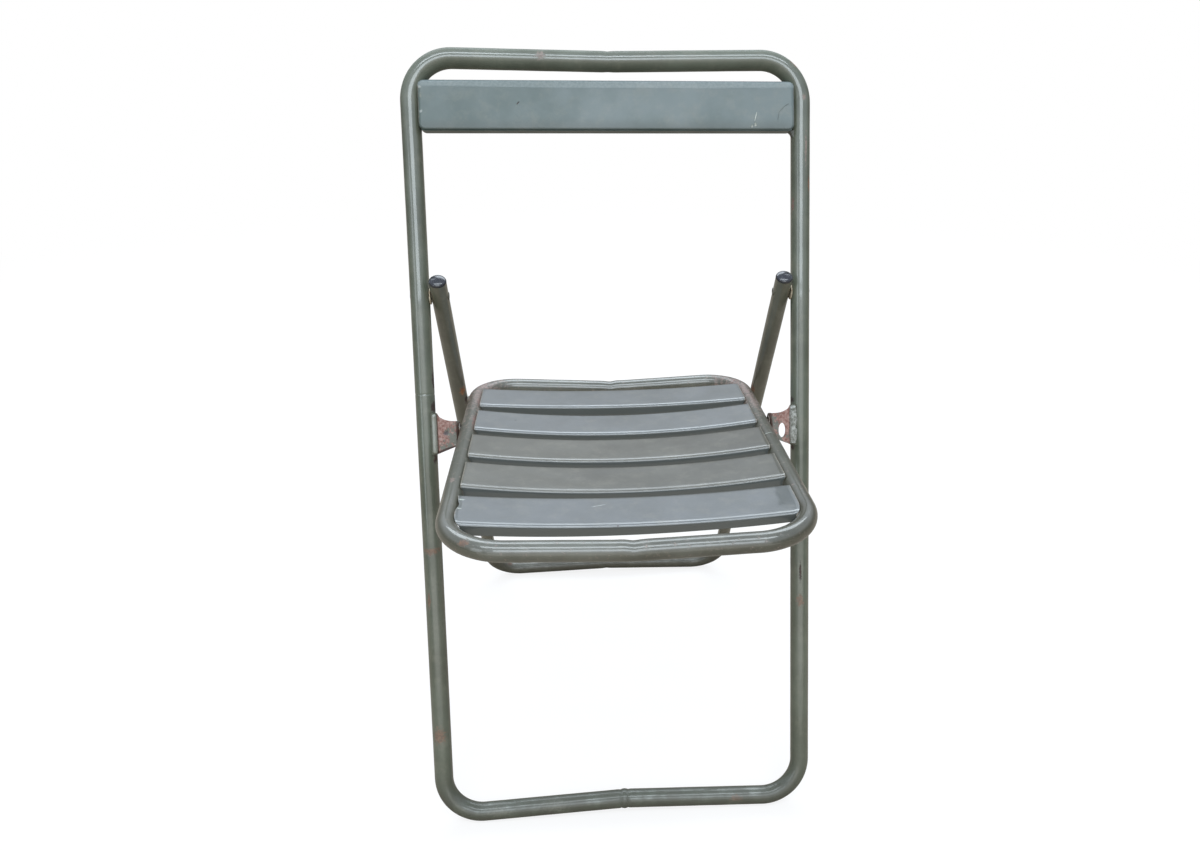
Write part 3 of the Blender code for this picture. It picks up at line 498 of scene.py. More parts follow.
def worn_paint(
    name, dark, light, gloss, marks, streaks=(), ends=None, scuffed=None, coat=1.0, low_darkening=None, dusty=None,
    flank=None, painted_side_light=0.0
):
    """Old enamel: blotchy, dusty, finely chipped, bare or rusted at its marks, with painted highlights and
    painted shade at some of them, and dirty near the floor.

    ends: distance from the middle, along X, where a sheet's cut ends start to wear.
    scuffed: places along Y between which primer starts to show in specks at the duller sides.
    coat: share of clear shine over the paint. grimy: heights between which the paint darkens towards the
    bottom.
    dusty: heights between which whatever turns away from the chair's front grows dull.
    flank: cleaner colour of a slat's flanges; its folds keep their shine and its underside is dull.
    fade: how much lighter the paint is on the right than on the left, a painted light and shade from side to
    side.
    """
    finish = Finish(name)
    height = finish.axes["Z"]
    # The blotches lean lighter towards one side by fade: painted light and shade across the piece.
    blotch_and_side_light = finish.plus(finish.noise(*BLOTCHES), finish.times(finish.axes["X"], painted_side_light))
    finish.colour = finish.mix(finish.ramp(blotch_and_side_light, *BLOTCH_SPREAD), dark, light)
    dust = finish.noise(*DUST)
    finish.tint(finish.ramp(dust, *DUST_SPREAD), DUST_TONE)
    finish.worn = finish.ramp(finish.noise(*CHIPS), *CHIP_SPREAD)
    finish.tint(finish.times(finish.worn, CHIP_COVER), RED_PRIMER[1])
    tear = finish.times(finish.plus(finish.noise(*TEARS), -0.5), TEAR_SIZE)
    patch = finish.ramp(finish.noise(*PATCHES), *PATCH_SPREAD)
    if flank:
        upward = finish.dot(finish.normal, UP)
        finish.tint(finish.ramp(upward, 0.8, 0.4), flank)
        finish.wear(finish.ramp(upward, -0.2, -0.6, 0.0, UNDERSIDE_WEAR))
        folded = finish.absolute(finish.dot(finish.normal, SEAT_AHEAD))
        coat = finish.ramp(folded, 0.04, 0.12, coat, 1.0)
    if scuffed:
        outer = finish.ramp(finish.aside, *SEAT_SIDES)
        finish.tint(finish.times(outer, SIDE_COVER), SCUFF_TONE)
        rear = finish.ramp(finish.axes["Y"], *scuffed, 0.0, REAR_SPECKS)
        specks = finish.plus(finish.noise(*SPECKS), finish.times(rear, outer))
        primer = finish.ramp(specks, *SPECK_SPREAD)
        finish.show(primer, (*PINK_PRIMER[:2], 1.0), patch)
        behind = finish.ramp(finish.axes["Y"], *BEHIND_FRONT, 0.0, SIDE_WEAR)
        finish.wear(finish.times(outer, behind))
    finish.mark(marks, tear, MARK_EDGE, patch)
    finish.lay_lines(streaks, patch)
    if ends:
        outer = finish.plus(finish.aside, finish.times(tear, END_RAGGED))
        finish.show(finish.ramp(outer, ends, ends + END_WIDTH), BARE_END, patch)
    low = finish.times(finish.ramp(height, *GROUND_HEIGHTS), finish.ramp(dust, *DIRT_SPREAD))
    finish.tint(finish.times(low, GROUND_COVER), GROUND_TONE)
    finish.wear(finish.times(low, GROUND_WEAR))
    if dusty:
        facing = finish.dot(finish.normal, PANEL_NORMAL)
        film = finish.ramp(height, *dusty, 0.0, DUST_FILM)
        finish.wear(finish.times(finish.ramp(facing, 0.985, 0.85), film))
    # Darkens the paint towards the bottom, between the grimy heights.
    if low_darkening:
        finish.tint(finish.ramp(height, *low_darkening, 0.0, LOW_DARKENING_COVER), LOW_DARKENING_TONE)
    smudge = finish.ramp(finish.noise(*SMUDGES), *SMUDGE_SPREAD, gloss, gloss + SMUDGE_DULLS)
    peel = finish.bump(finish.noise(*PEEL), PEEL_HEIGHT)
    inputs = {"Height": finish.worn, "Distance": PAINT_THICKNESS, "Strength": 1.0, "Normal": peel}
    surface = finish.node("ShaderNodeBump", inputs, invert=True).outputs[0]
    return finish.set(
        Base_Color=finish.colour,
        Roughness=finish.plus(smudge, finish.times(finish.worn, WEAR_DULLS)),
        Normal=surface,
        IOR=1.65,
        Coat_Weight=finish.times(finish.ramp(finish.worn, 0.0, 1.0, 1.0, 0.0), coat),
        Coat_Roughness=0.06,
        Coat_IOR=1.6,
        Coat_Normal=surface,
    )


# Bracket sheet: where paint is kept, as heights or distances from the middle, with what each adds to a noise
KEPT_INSIDE = (0.188, 0.168, -0.14, 0.12)
KEPT_BELOW = (0.425, 0.385, -0.12, 0.12)
KEPT_SPREAD = (0.50, 0.58)
SADDLE_FROM = (0.1872, 0.1886)
PRIMER_TONES = (tone(124, 84, 73), tone(170, 139, 130))
KEPT_TONE = tone(112, 112, 103)
SADDLE_TONE = tone(96, 99, 86)
GLINT_FLECK_TONE = tone(196, 194, 188)
PIT_TONE = tone(70, 42, 34)


def rusted_paint(name, shift):
    """Bracket sheet: red primer and rust towards its weld and top, paint left on its lower inner part, pale
    flecks painted as glints, and painted shade in the left dimple, on the flanges and along the left lower
    edge.
    """
    finish = Finish(name)
    inner = finish.ramp(finish.aside, *KEPT_INSIDE)
    lower = finish.ramp(finish.axes["Z"], *KEPT_BELOW)
    torn = finish.noise(190, 6, 0.7, shift)
    kept = finish.ramp(finish.plus(finish.plus(torn, inner), lower), *KEPT_SPREAD)
    reddish = finish.ramp(finish.noise(330, 5, 0.7, shift + 2), 0.36, 0.64)
    finish.colour = finish.mix(reddish, *PRIMER_TONES)
    finish.tint(kept, KEPT_TONE)
    finish.tint(finish.ramp(finish.aside, *SADDLE_FROM), SADDLE_TONE)
    # Pale flecks over the bracket stand in for glints: painted highlights.
    pale = finish.ramp(finish.noise(520, 3, shift=shift + 4), 0.66, 0.70)
    finish.tint(finish.times(pale, 0.7), GLINT_FLECK_TONE)
    finish.tint(finish.ramp(finish.noise(420, 4, shift=shift + 6), 0.64, 0.70), PIT_TONE)
    tear = finish.times(finish.plus(torn, -0.5), 1.6)
    finish.mark(BRACKET_MARKS, tear, 0.5, torn)
    finish.lay_lines([BRACKET_SHADED_EDGE], torn)
    return finish.set(
        Base_Color=finish.colour,
        Roughness=finish.ramp(kept, 0.0, 1.0, 0.58, 0.36),
        Normal=finish.bump(finish.noise(260, 5, 0.7, shift + 1), 0.0005),
    )


def stained(name, grain, spread, clean, stain, dulling, bumps, metal=(0.0, 0.0), **inputs):
    """A clean colour that a noise stains, with the roughness and the metal of each, under fine bumps."""
    finish = Finish(name)
    share = finish.ramp(finish.noise(*grain), *spread)
    return finish.set(
        Base_Color=finish.mix(share, clean, stain),
        Metallic=finish.ramp(share, 0.0, 1.0, *metal),
        Roughness=finish.ramp(share, 0.0, 1.0, *dulling),
        Normal=finish.bump(finish.noise(*bumps), 0.0001),
        **inputs,
    )


def weld_finish():
    """Coarse weld metal under thin paint."""
    finish = Finish("coarse_weld")
    grain = finish.noise(380, 5, 0.75)
    return finish.set(
        Base_Color=finish.mix(finish.ramp(grain, 0.36, 0.66), tone(108, 110, 100), tone(184, 186, 180)),
        Roughness=finish.ramp(grain, 0.3, 0.7, 0.55, 0.32),
        Normal=finish.bump(grain, 0.0008),
    )


def evenly(start, end, steps):
    """Values from start to end in even steps, both included."""
    return [start + (end - start) * step / steps for step in range(steps + 1)]


def round_corners(corners):
    """Points of a line through corners, each (place, radius), with a fine arc at each but the ends."""
    points = [Vector(corners[0][0])]
    for (before, _), (corner, radius), (after, _) in zip(corners, corners[1:], corners[2:]):
        corner = Vector(corner)
        back = (Vector(before) - corner).normalized()
        ahead = (Vector(after) - corner).normalized()
        turn = pi - back.angle(ahead)
        start = corner + back * radius * tan(turn / 2)
        centre = corner + (back + ahead).normalized() * radius / cos(turn / 2)
        axis = back.cross(start - centre)
        steps = max(2, ceil(turn / ARC_STEP))
        for angle in evenly(0, turn, steps):
            points.append(centre + Matrix.Rotation(angle, 3, axis) @ (start - centre))
    points.append(Vector(corners[-1][0]))
    return points


def measure(points):
    """How far along the line each of its points lies."""
    distances = [0.0]
    for first, second in zip(points, points[1:]):
        distances.append(distances[-1] + (second - first).length)
    return distances


def along(points, distances, wanted):
    """The point of a line at a distance from its start, and the line's direction there."""
    index = 0
    while index < len(points) - 2 and distances[index + 1] < wanted:
        index += 1
    step = points[index + 1] - points[index]
    share = (wanted - distances[index]) / step.length
    return points[index] + share * step, step.normalized()


def stations(length, spots):
    """Distances along a tube: even steps, with fine ones at its spots."""
    wanted = set(evenly(0, length, round(length / TUBE_STEP)))
    for spot in spots:
        for offset in SPOT_STEPS:
            wanted.add(min(max(spot - offset, 0), length))
            wanted.add(min(max(spot + offset, 0), length))
    return sorted(wanted)


def hump(distance, height, reach):
    """A height at no distance, falling smoothly to nothing past the reach."""
    return height * exp(-((distance / reach) ** 2))


def sweep(name, points, radius, up, closed=False, spots=(), shape=None):
    """A tube's skin along points; shape gives its change of radius at a distance along and an angle."""
    distances = measure(points)
    length = distances[-1]
    places = stations(length, spots)
    if closed:
        places = places[:-1]
    angles = evenly(0, tau, TUBE_SIDES)[:-1]
    rings = []
    for place in places:
        centre, ahead = along(points, distances, place)
        behind = along(points, distances, max(place - TUBE_STEP / 2, 0))[1]
        beyond = along(points, distances, min(place + TUBE_STEP / 2, length))[1]
        ahead = (behind + ahead + beyond).normalized()
        side = ahead.cross(up).normalized()
        over = side.cross(ahead)
        ring = []
        for angle in angles:
            reach = radius + (shape(place, angle) if shape else 0)
            ring.append(centre + reach * (cos(angle) * side + sin(angle) * over))
        rings.append(ring)
    return skin(name, rings, True, closed)


def to_mesh(name, shape):
    bmesh.ops.recalc_face_normals(shape, faces=shape.faces)
    mesh = bpy.data.meshes.new(name)
    shape.to_mesh(mesh)
    shape.free()
    return mesh


def skin(name, rows, around=False, closed=False):
    """A skin through rows of points, joined round each row or at its ends if asked; one point is a tip."""
    shape = bmesh.new()
    count = max(len(row) for row in rows)
    grid = []
    for row in rows:
        made = [shape.verts.new(point) for point in row]
        if len(made) == 1:
            made *= count
        grid.append(made + made[:1] if around else made)
    if closed:
        grid.append(grid[0])
    for first, second in zip(grid, grid[1:]):
        for corners in zip(first, first[1:], second[1:], second):
            shape.faces.new(list(dict.fromkeys(corners)))
    return to_mesh(name, shape)


def turned(name, profile):
    """A profile of (radius, height) points turned round Z."""
    angles = evenly(0, tau, TURNED_STEPS)[:-1]
    rings = []
    for radius, height in profile:
        turns = angles if radius else [0.0]
        rings.append([(radius * cos(a), radius * sin(a), height) for a in turns])
    return skin(name, rings, around=True)


def slab(name, outline, low, high):
    """A flat outline of (y, z) points, run along X from low to high."""
    shape = bmesh.new()
    face = shape.faces.new([shape.verts.new((low, y, z)) for y, z in outline])
    raised = bmesh.ops.extrude_face_region(shape, geom=[face])["geom"]
    moved = [item for item in raised if isinstance(item, bmesh.types.BMVert)]
    bmesh.ops.translate(shape, vec=(high - low, 0, 0), verts=moved)
    return to_mesh(name, shape)


def new_object(name, data):
    made = bpy.data.objects.new(name, data)
    bpy.context.scene.collection.objects.link(made)
    return made


def refine(mesh, sheet=0, offset=-1, cutters=(), edge=0, even=True):
    """A mesh with its sheet's thickness, evened out at folds or not, its cuts and its rounded edges made."""
    lay_lines, *helpers = [new_object(shape.name, shape) for shape in (mesh, *cutters)]
    if sheet:
        solidify = lay_lines.modifiers.new("sheet", "SOLIDIFY")
        solidify.thickness = sheet
        solidify.offset = offset
        solidify.use_even_offset = even
    for helper in helpers:
        boolean = lay_lines.modifiers.new("cut", "BOOLEAN")
        boolean.solver = "EXACT"
        boolean.object = helper
    if edge:
        bevel = lay_lines.modifiers.new("edges", "BEVEL")
        bevel.width = edge
        bevel.segments = 2
        bevel.angle_limit = BEVEL_FROM
    graph = bpy.context.evaluated_depsgraph_get()
    made = bpy.data.meshes.new_from_object(lay_lines.evaluated_get(graph))
    for done in (lay_lines, *helpers):
        bpy.data.objects.remove(done, do_unlink=True)
    return made


def add_piece(name, mesh, local, body, material, slot, *nodes):
    """Sets a mesh in the shared frame as a piece that rides a body and stands for CAD nodes."""
    mesh.transform(local)
    mesh.shade_smooth()
    mesh.set_sharp_from_angle(angle=SHARP_EDGE)
    mesh.materials.clear()
    mesh.materials.append(material)
    piece = new_object(name, mesh)
    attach(piece, body)
    if nodes:
        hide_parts(*nodes)


def add_turned(node, ending, profile, place, body, material, slot):
    """Adds a turned piece that stands for one CAD node."""
    add_piece(node + ending, turned(node, profile), place, body, material, slot, node)


def wear_feet(mesh, local):
    """Flattens what reaches below the floor, as wear has."""
    onto = local.inverted()
    for vertex in mesh.vertices:
        place = local @ vertex.co
        if place.z < 0:
            place.z = 0
            vertex.co = onto @ place


def ripple(place, angle, seed):
    """The slight unevenness of drawn and hand-painted tube."""
    return TUBE_RIPPLE * noise.noise((place * 60, 1.3 * cos(angle), 1.3 * sin(angle) + seed))


def bar(side, end, middle, bend):
    """Corners of a bar from one side to the other, kinked at its middle; end and middle are (y, z)."""
    return [((side, *end), bend), ((0, *middle), KINK_BEND), ((-side, *end), bend)]


def main_line():
    side = MAIN_WIDTH / 2
    butt = ((-side, 0, MAIN_BUTT_HEIGHT), 0)
    top = bar(-side, (0, MAIN_LENGTH), (0, MAIN_LENGTH - TOP_BAR_DIP), MAIN_BEND)
    foot = bar(side, (0, 0), (0, FOOT_BAR_RISE), MAIN_BEND)
    return round_corners([butt, *top, *foot, butt])


def place_of(points, target):
    """How far along a line its point nearest to target lies."""
    distances = measure(points)
    nearest = min(range(len(points)), key=lambda index: (points[index] - Vector(target)).length)
    return distances[nearest]


def make_main_frame():
    points = main_line()
    length = measure(points)[-1]
    top = place_of(points, (0, 0, MAIN_LENGTH - TOP_BAR_DIP))
    foot = place_of(points, (0, 0, FOOT_BAR_RISE))
    collar = (foot - COLLAR_HALF, foot + COLLAR_HALF)

    def shape(place, angle):
        change = ripple(place, angle, 2.0)
        change -= hump(place, *BUTT_GROOVE) + hump(place - length, *BUTT_GROOVE)
        change -= hump(place - top, *TOP_KINK)
        change += hump(place - foot, *FOOT_COLLAR)
        return change - sum(hump(place - edge, *COLLAR_GROOVE) for edge in collar)

    spots = (0, length, foot, *collar, top)
    mesh = sweep("main_frame", points, MAIN_RADIUS, Vector((0, 1, 0)), True, spots, shape)
    wear_feet(mesh, MAIN)
    add_piece("main_frame_tube", mesh, MAIN, "frame", TUBE_PAINT, "tube_paint", "main_frame")


def grid_steps(low, high, fold, step):
    """Places along one side of a folded tray: fine over the two folds, even between them."""
    near = [low + fold * index / FOLD_STEPS for index in range(FOLD_STEPS)]
    count = max(1, round((high - low - 2 * fold) / step))
    middle = [low + fold + (high - low - 2 * fold) * index / count for index in range(count + 1)]
    far = [high - fold * index / FOLD_STEPS for index in reversed(range(FOLD_STEPS))]
    return near + middle + far


def panel_point(x, z, step):
    """A point of the panel's tray for a place on a plain box: rounded corners first, then the folded edges.

    step counts the rows from the front over the fold and down the lip.
    """
    half = (PANEL_TOP - PANEL_BOTTOM) / 2
    middle = (PANEL_TOP + PANEL_BOTTOM) / 2
    share = (z - PANEL_BOTTOM) / (PANEL_TOP - PANEL_BOTTOM)
    fold = PANEL_BOTTOM_FOLD + (PANEL_TOP_FOLD - PANEL_BOTTOM_FOLD) * share
    depth = fold * min(step / FOLD_STEPS, 1) + (PANEL_LIP - fold) * max(0, step - FOLD_STEPS) / LIP_STEPS
    place = Vector((x, z - middle))
    core = Vector((PANEL_REACH - PANEL_CORNER, half - PANEL_CORNER))
    over = Vector((abs(place.x) - core.x, abs(place.y) - core.y))
    signs = Vector((copysign(1, place.x), copysign(1, place.y)))
    inside = PANEL_CORNER - max(over)
    if min(over) > 0:
        outward = over.normalized() * signs
        place = core * signs + outward * max(over)
    else:
        outward = Vector((signs.x, 0)) if over.x > over.y else Vector((0, signs.y))
    if inside >= fold:
        return Vector((place.x, PANEL_FRONT, place.y + middle))
    if depth < fold and inside > 0:
        turn = atan2(fold - inside, fold)
    else:
        turn = pi / 2 - atan2(max(0, fold - depth), fold)
    back = fold * (1 - cos(turn)) + max(0, depth - fold)
    place += outward * (inside - fold + fold * sin(turn))
    return Vector((place.x, PANEL_FRONT + back, place.y + middle))


def make_backrest_panel():
    """A tray open at the back, with rounded edges and corners, gently uneven over its front."""
    across = grid_steps(-PANEL_REACH, PANEL_REACH, PANEL_CORNER, PANEL_STEP)
    upward = grid_steps(PANEL_BOTTOM, PANEL_TOP, PANEL_CORNER, PANEL_ROW)
    shape = bmesh.new()
    made = {}

    def corner(i, j, k):
        if (i, j, k) not in made:
            place = panel_point(across[i], upward[k], j)
            wave = noise.noise((place.x * 14, place.z * 22, 0.7))
            wave += 0.4 * noise.noise((place.x * 45, place.z * 50, 4.2))
            inside = min(place.z - PANEL_BOTTOM, PANEL_TOP - place.z) / PANEL_WAVE_EDGE
            place.y += PANEL_WAVE * wave * min(1, max(0, inside))
            made[i, j, k] = shape.verts.new(place)
        return made[i, j, k]

    def patch(*corners):
        shape.faces.new([corner(*place) for place in corners])

    last_i, last_j, last_k = len(across) - 1, FOLD_STEPS + LIP_STEPS, len(upward) - 1
    for i in range(last_i):
        for k in range(last_k):
            patch((i, 0, k), (i + 1, 0, k), (i + 1, 0, k + 1), (i, 0, k + 1))
        for j in range(last_j):
            for k in (0, last_k):
                patch((i, j, k), (i + 1, j, k), (i + 1, j + 1, k), (i, j + 1, k))
    for j in range(last_j):
        for k in range(last_k):
            for i in (0, last_i):
                patch((i, j, k), (i, j, k + 1), (i, j + 1, k + 1), (i, j + 1, k))
    trimmer = sweep("main_trimmer", main_line(), MAIN_RADIUS + GAP, Vector((0, 1, 0)), True)
    mesh = refine(to_mesh("backrest_panel", shape), PANEL_SHEET, cutters=[trimmer], even=False)
    add_piece("backrest_panel_sheet", mesh, MAIN, "frame", PANEL_PAINT, "sheet_paint", "backrest_panel")


def make_panel_fillet():
    """The hollow run of weld between the panel's lower right corner and its upright, painted dark all over as
    painted shade.
    """
    side = MAIN_WIDTH / 2 - MAIN_RADIUS
    bottom = PANEL_BOTTOM + PANEL_SHEET
    centre = (side - PANEL_FILLET, PANEL_BOTTOM - PANEL_FILLET + PANEL_SHEET / 2)
    hollow = arc(centre, PANEL_FILLET, 90, 0, 2 * FOLD_STEPS)
    buried = [(side + 0.003, hollow[-1][1]), (side + 0.003, bottom), (hollow[0][0], bottom)]
    fillet = slab("panel_fillet", [(-x, z) for x, z in hollow + buried], PANEL_FRONT / 2, 0.001)
    fillet.transform(Matrix.Rotation(pi / 2, 4, "Z"))
    add_piece("panel_weld_right", fillet, MAIN, "frame", SHADED_FILLET_PAINT, "tube_paint")


def seat_line():
    side = SEAT_WIDTH / 2
    end = SEAT_FRONT + SEAT_LENGTH
    butt = ((side, -SEAT_BUTT_SET, 0), 0)
    front = bar(side, (SEAT_FRONT, 0), (SEAT_FRONT, -SEAT_FRONT_DIP), SEAT_FRONT_BEND)
    rear = bar(-side, (end, 0), (end, -SEAT_REAR_DIP), SEAT_REAR_BEND)
    return round_corners([butt, *front, *rear, butt])


def make_seat_frame():
    points = seat_line()
    length = measure(points)[-1]
    front = place_of(points, (0, SEAT_FRONT, -SEAT_FRONT_DIP))
    rear = place_of(points, (0, SEAT_FRONT + SEAT_LENGTH, -SEAT_REAR_DIP))

    def shape(place, angle):
        change = ripple(place, angle, 7.0)
        change -= hump(place, *SEAT_BUTT_GROOVE) + hump(place - length, *SEAT_BUTT_GROOVE)
        upper = max(0, sin(angle))
        for kink in (front, rear):
            change -= hump(place - kink, *SEAT_KINK) * upper
            change += hump(place - kink - SEAT_RIDGE_SET, *SEAT_RIDGE) * upper
        return change

    mesh = sweep("seat_frame", points, SEAT_RADIUS, Vector((0, 0, 1)), True, (0, length, front, rear), shape)
    add_piece("seat_frame_tube", mesh, SEAT, "seat", SEAT_PAINT, "tube_paint", "seat_frame")


def edge_of_seat(y, inset):
    """Half the seat's inner width at y, this far inside the tube's centreline, with its rounded corners."""
    side = SEAT_WIDTH / 2 - inset
    for edge, bend in ((y - SEAT_FRONT, SEAT_FRONT_BEND), (SEAT_FRONT + SEAT_LENGTH - y, SEAT_REAR_BEND)):
        radius = bend - inset
        into = edge - inset
        if into < radius:
            side += sqrt(max(0, radius**2 - (radius - max(into, 0)) ** 2)) - radius
    return side


def slat_section():
    """A slat's sheet from its rear flange to its front flange, as (y, z) from the middle of its top."""
    half = SLAT_WIDTH / 2
    fold = [Vector((0, 0))]
    bends = ((SLAT_ROLL, pi / 2, SLAT_ROLL_TO), (SLAT_TURN, SLAT_ROLL_TO, SLAT_BEVEL_AT))
    for radius, start, end in (*bends, (SLAT_EDGE, SLAT_BEVEL_AT, 0)):
        if start == SLAT_BEVEL_AT:
            fold.append(fold[-1] + SLAT_BEVEL * Vector((sin(start), -cos(start))))
        centre = fold[-1] - radius * Vector((cos(start), sin(start)))
        for angle in evenly(start, end, FOLD_STEPS // 2)[1:]:
            fold.append(centre + radius * Vector((cos(angle), sin(angle))))
    inset, drop = half - fold[-1].x, fold[-1].y
    rear = [(half, z) for z in evenly(-SLAT_FLANGE, drop, 4)[:-1]]
    rear += [(inset + point.x, point.y) for point in reversed(fold)]
    flat = evenly(inset, -inset, SLAT_FLAT_STEPS)[1:-1]
    return rear + [(y, 0) for y in flat] + [(-y, z) for y, z in reversed(rear)]


def make_slats():
    first = SLAT_END_SPACE + SLAT_WIDTH / 2
    pitch = (SEAT_LENGTH - 2 * first) / (len(SLAT_SAGS) - 1)
    for index, (sag, drop) in enumerate(zip(SLAT_SAGS, SLAT_DROPS)):
        middle = SEAT_FRONT + first + pitch * index
        rise = SLAT_RISE - drop
        rows = []
        for y, z in slat_section():
            height = rise + z - SLAT_SHEET / 2
            hidden = max(0, (SEAT_RADIUS + GAP) ** 2 - height**2)
            inset = max(SEAT_RADIUS - SLAT_LAP, sqrt(hidden))
            row = []
            for share in evenly(-1, 1, SLAT_STEPS):
                reach = edge_of_seat(middle + y, inset)
                if index == 0 and share < 0:
                    reach -= hump(middle + y - SLAT_TEAR_AT, *SLAT_TEAR)
                x = share * reach
                top = rise - sag * (1 - (x / (SEAT_WIDTH / 2 - SEAT_RADIUS)) ** 2)
                wave = noise.noise((x * 16, (middle + y) * 30, index * 3.7))
                wave += 0.5 * noise.noise((x * 55, y * 60, index))
                flat = min(1, max(0, (SLAT_WIDTH / 2 - abs(y)) / SLAT_WAVE_EDGE))
                fall = max(z, drop - SLAT_FLANGE)
                if index == 0:
                    fall *= 1 + FRONT_DROOP * max(0, FRONT_DROOP_FROM - x)
                row.append((x, middle + y, top + fall + SLAT_WAVE * wave * flat))
            rows.append(row)
        name = f"seat_slat_{index + 1}"
        mesh = refine(skin(name, rows), SLAT_SHEET, edge=EDGE_ROUND)
        add_piece(name + "_sheet", mesh, SEAT, "seat", SLAT_PAINTS[index], "sheet_paint", name)


def stud_path():
    """Where a stud's centre runs in the rear leg, as (y, z), while both joints fold together."""
    low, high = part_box("slide_pin_left")
    stud = (low + high) / 2
    stud.x = 0
    seat_fold = radians(JOINTS["seat_fold"]["range_deg"][1])
    leg_fold = radians(JOINTS["rear_leg_fold"]["range_deg"][1])
    path = []
    for share in evenly(0, 1, SLOT_STATIONS - 1):
        moved = SEAT_PIVOT + Matrix.Rotation(-seat_fold * share, 3, "X") @ (stud - SEAT_PIVOT)
        in_leg = LEG_PIVOT + Matrix.Rotation(leg_fold * share, 3, "X") @ (moved - LEG_PIVOT)
        place = LEG.inverted() @ in_leg
        path.append(Vector((place.y, place.z)))
    return path


def slot_outline():
    """The slot round the stud's path, with a round end at each end."""
    path = stud_path()
    ahead = [(after - before).normalized() for before, after in zip(path, path[1:])]
    ahead.append(ahead[-1])
    right = [p + SLOT_HALF * Vector((-d.y, d.x)) for p, d in zip(path, ahead)]
    left = [p - SLOT_HALF * Vector((-d.y, d.x)) for p, d in zip(path, ahead)]
    turns = [Matrix.Rotation(angle, 2) for angle in evenly(0, -pi, TURNED_STEPS // 3)[1:-1]]
    far = [path[-1] + turn @ (right[-1] - path[-1]) for turn in turns]
    near = [path[0] + turn @ (left[0] - path[0]) for turn in turns]
    return right + far + left[::-1] + near


def make_rear_leg():
    side = REAR_WIDTH / 2
    foot = bar(-side, (0, -REAR_LENGTH), (0, -REAR_LENGTH + REAR_BAR_RISE), REAR_BEND)
    points = round_corners([((-side, 0, LEG_STUB), 0), *foot, ((side, 0, LEG_STUB), 0)])
    kink = place_of(points, (0, 0, -REAR_LENGTH + REAR_BAR_RISE))

    def shape(place, angle):
        return ripple(place, angle, 11.0) - hump(place - kink, *LEG_KINK)

    tube = sweep("rear_leg", points, REAR_RADIUS, Vector((0, 1, 0)), False, (kink,), shape)
    wear_feet(tube, LEG)
    inner = side - REAR_RADIUS
    cutters = []
    for sign, name in SIDES:
        low, high = sorted((sign * (inner - GAP), sign * side))
        cutters.append(slab("slot_" + name, slot_outline(), low, high))
    mesh = refine(tube, TUBE_WALL, cutters=cutters)
    add_piece("rear_leg_tube", mesh, LEG, "rear_leg", LEG_PAINT, "tube_paint", "rear_leg")


def arc(centre, radius, start, end, steps=FOLD_STEPS):
    """Points of an arc in a profile, from one angle to another in degrees, counted from outwards to up."""
    angles = [radians(degrees) for degrees in evenly(start, end, steps)]
    return [(centre[0] + radius * cos(a), centre[1] + radius * sin(a)) for a in angles]


def dome(radius, base, height, lip):
    """A low dome from its top on the axis down to a rounded rim."""
    angles = evenly(0, pi / 2, 2 * FOLD_STEPS)[:-1]
    crown = [((radius - lip / 3) * sin(a), base + lip + (height - lip) * cos(a)) for a in angles]
    return crown + [(radius, base + lip / 2), (radius, base)]


def to_side(sign, place):
    """Turns a piece made round Z so that its top faces outwards along X."""
    return Matrix.Translation(place) @ Matrix.Rotation(sign * pi / 2, 4, "Y")


def make_leg_caps():
    for sign, name in SIDES:
        node = "rear_leg_cap_" + name
        bore = REAR_RADIUS - TUBE_WALL - GAP
        profile = dome(REAR_RADIUS + 0.0001, GAP, CAP_DOME, CAP_RIM)
        profile += [(bore, GAP), (bore, -CAP_PLUG), (0, -CAP_PLUG)]
        place = LEG @ Matrix.Translation((sign * REAR_WIDTH / 2, 0, LEG_STUB))
        add_turned(node, "_plug", profile, place, "rear_leg", CAP, "leg_cap")


def rounded_ring(low, inner, outer, thickness):
    """A washer's profile, closed, with rounded outer edges."""
    high = low + thickness
    upper = arc((outer - WASHER_EDGE, high - WASHER_EDGE), WASHER_EDGE, 90, 0, 4)
    lower = arc((outer - WASHER_EDGE, low + WASHER_EDGE), WASHER_EDGE, 0, -90, 4)
    return [(inner, high), *upper, *lower, (inner, low), (inner, high)]


def seated(face, profile):
    """A profile in millimetres, with its heights counted from a face."""
    return [(radius / 1000, face + height / 1000) for radius, height in profile]


def make_leg_pivots():
    tail = ((0, 0.1), (1.8, 0), (2.8, -0.2), (3.2, -0.5), (3.3, -0.9), (3, -1.2))
    head = [(3, 2), (4, 1.7), *arc((3.6, 0.2), 0.4, 0, -90, 5)]
    hollow = [(2.6, -0.2), *arc((2.6, 0.2), 0.4, -90, -180, 5), (2.2, 3.5), (0, 3.5)]
    outer_face = MAIN_WIDTH / 2 + MAIN_RADIUS
    inner_face = REAR_WIDTH / 2 - REAR_RADIUS
    profile = seated(outer_face, tail) + seated(inner_face, head + hollow)
    ring = rounded_ring(REAR_WIDTH / 2 + REAR_RADIUS + GAP, *LEG_WASHER)
    for sign, name in SIDES:
        place = MAIN @ to_side(sign, (0, 0, LEG_PIVOT_HEIGHT))
        add_turned("leg_rivet_" + name, "_steel", profile, place, "frame", PAINTED_RIVET, "bare_steel")
        add_turned("leg_washer_" + name, "_ring", ring, place, "frame", WASHER, "leg_washer")


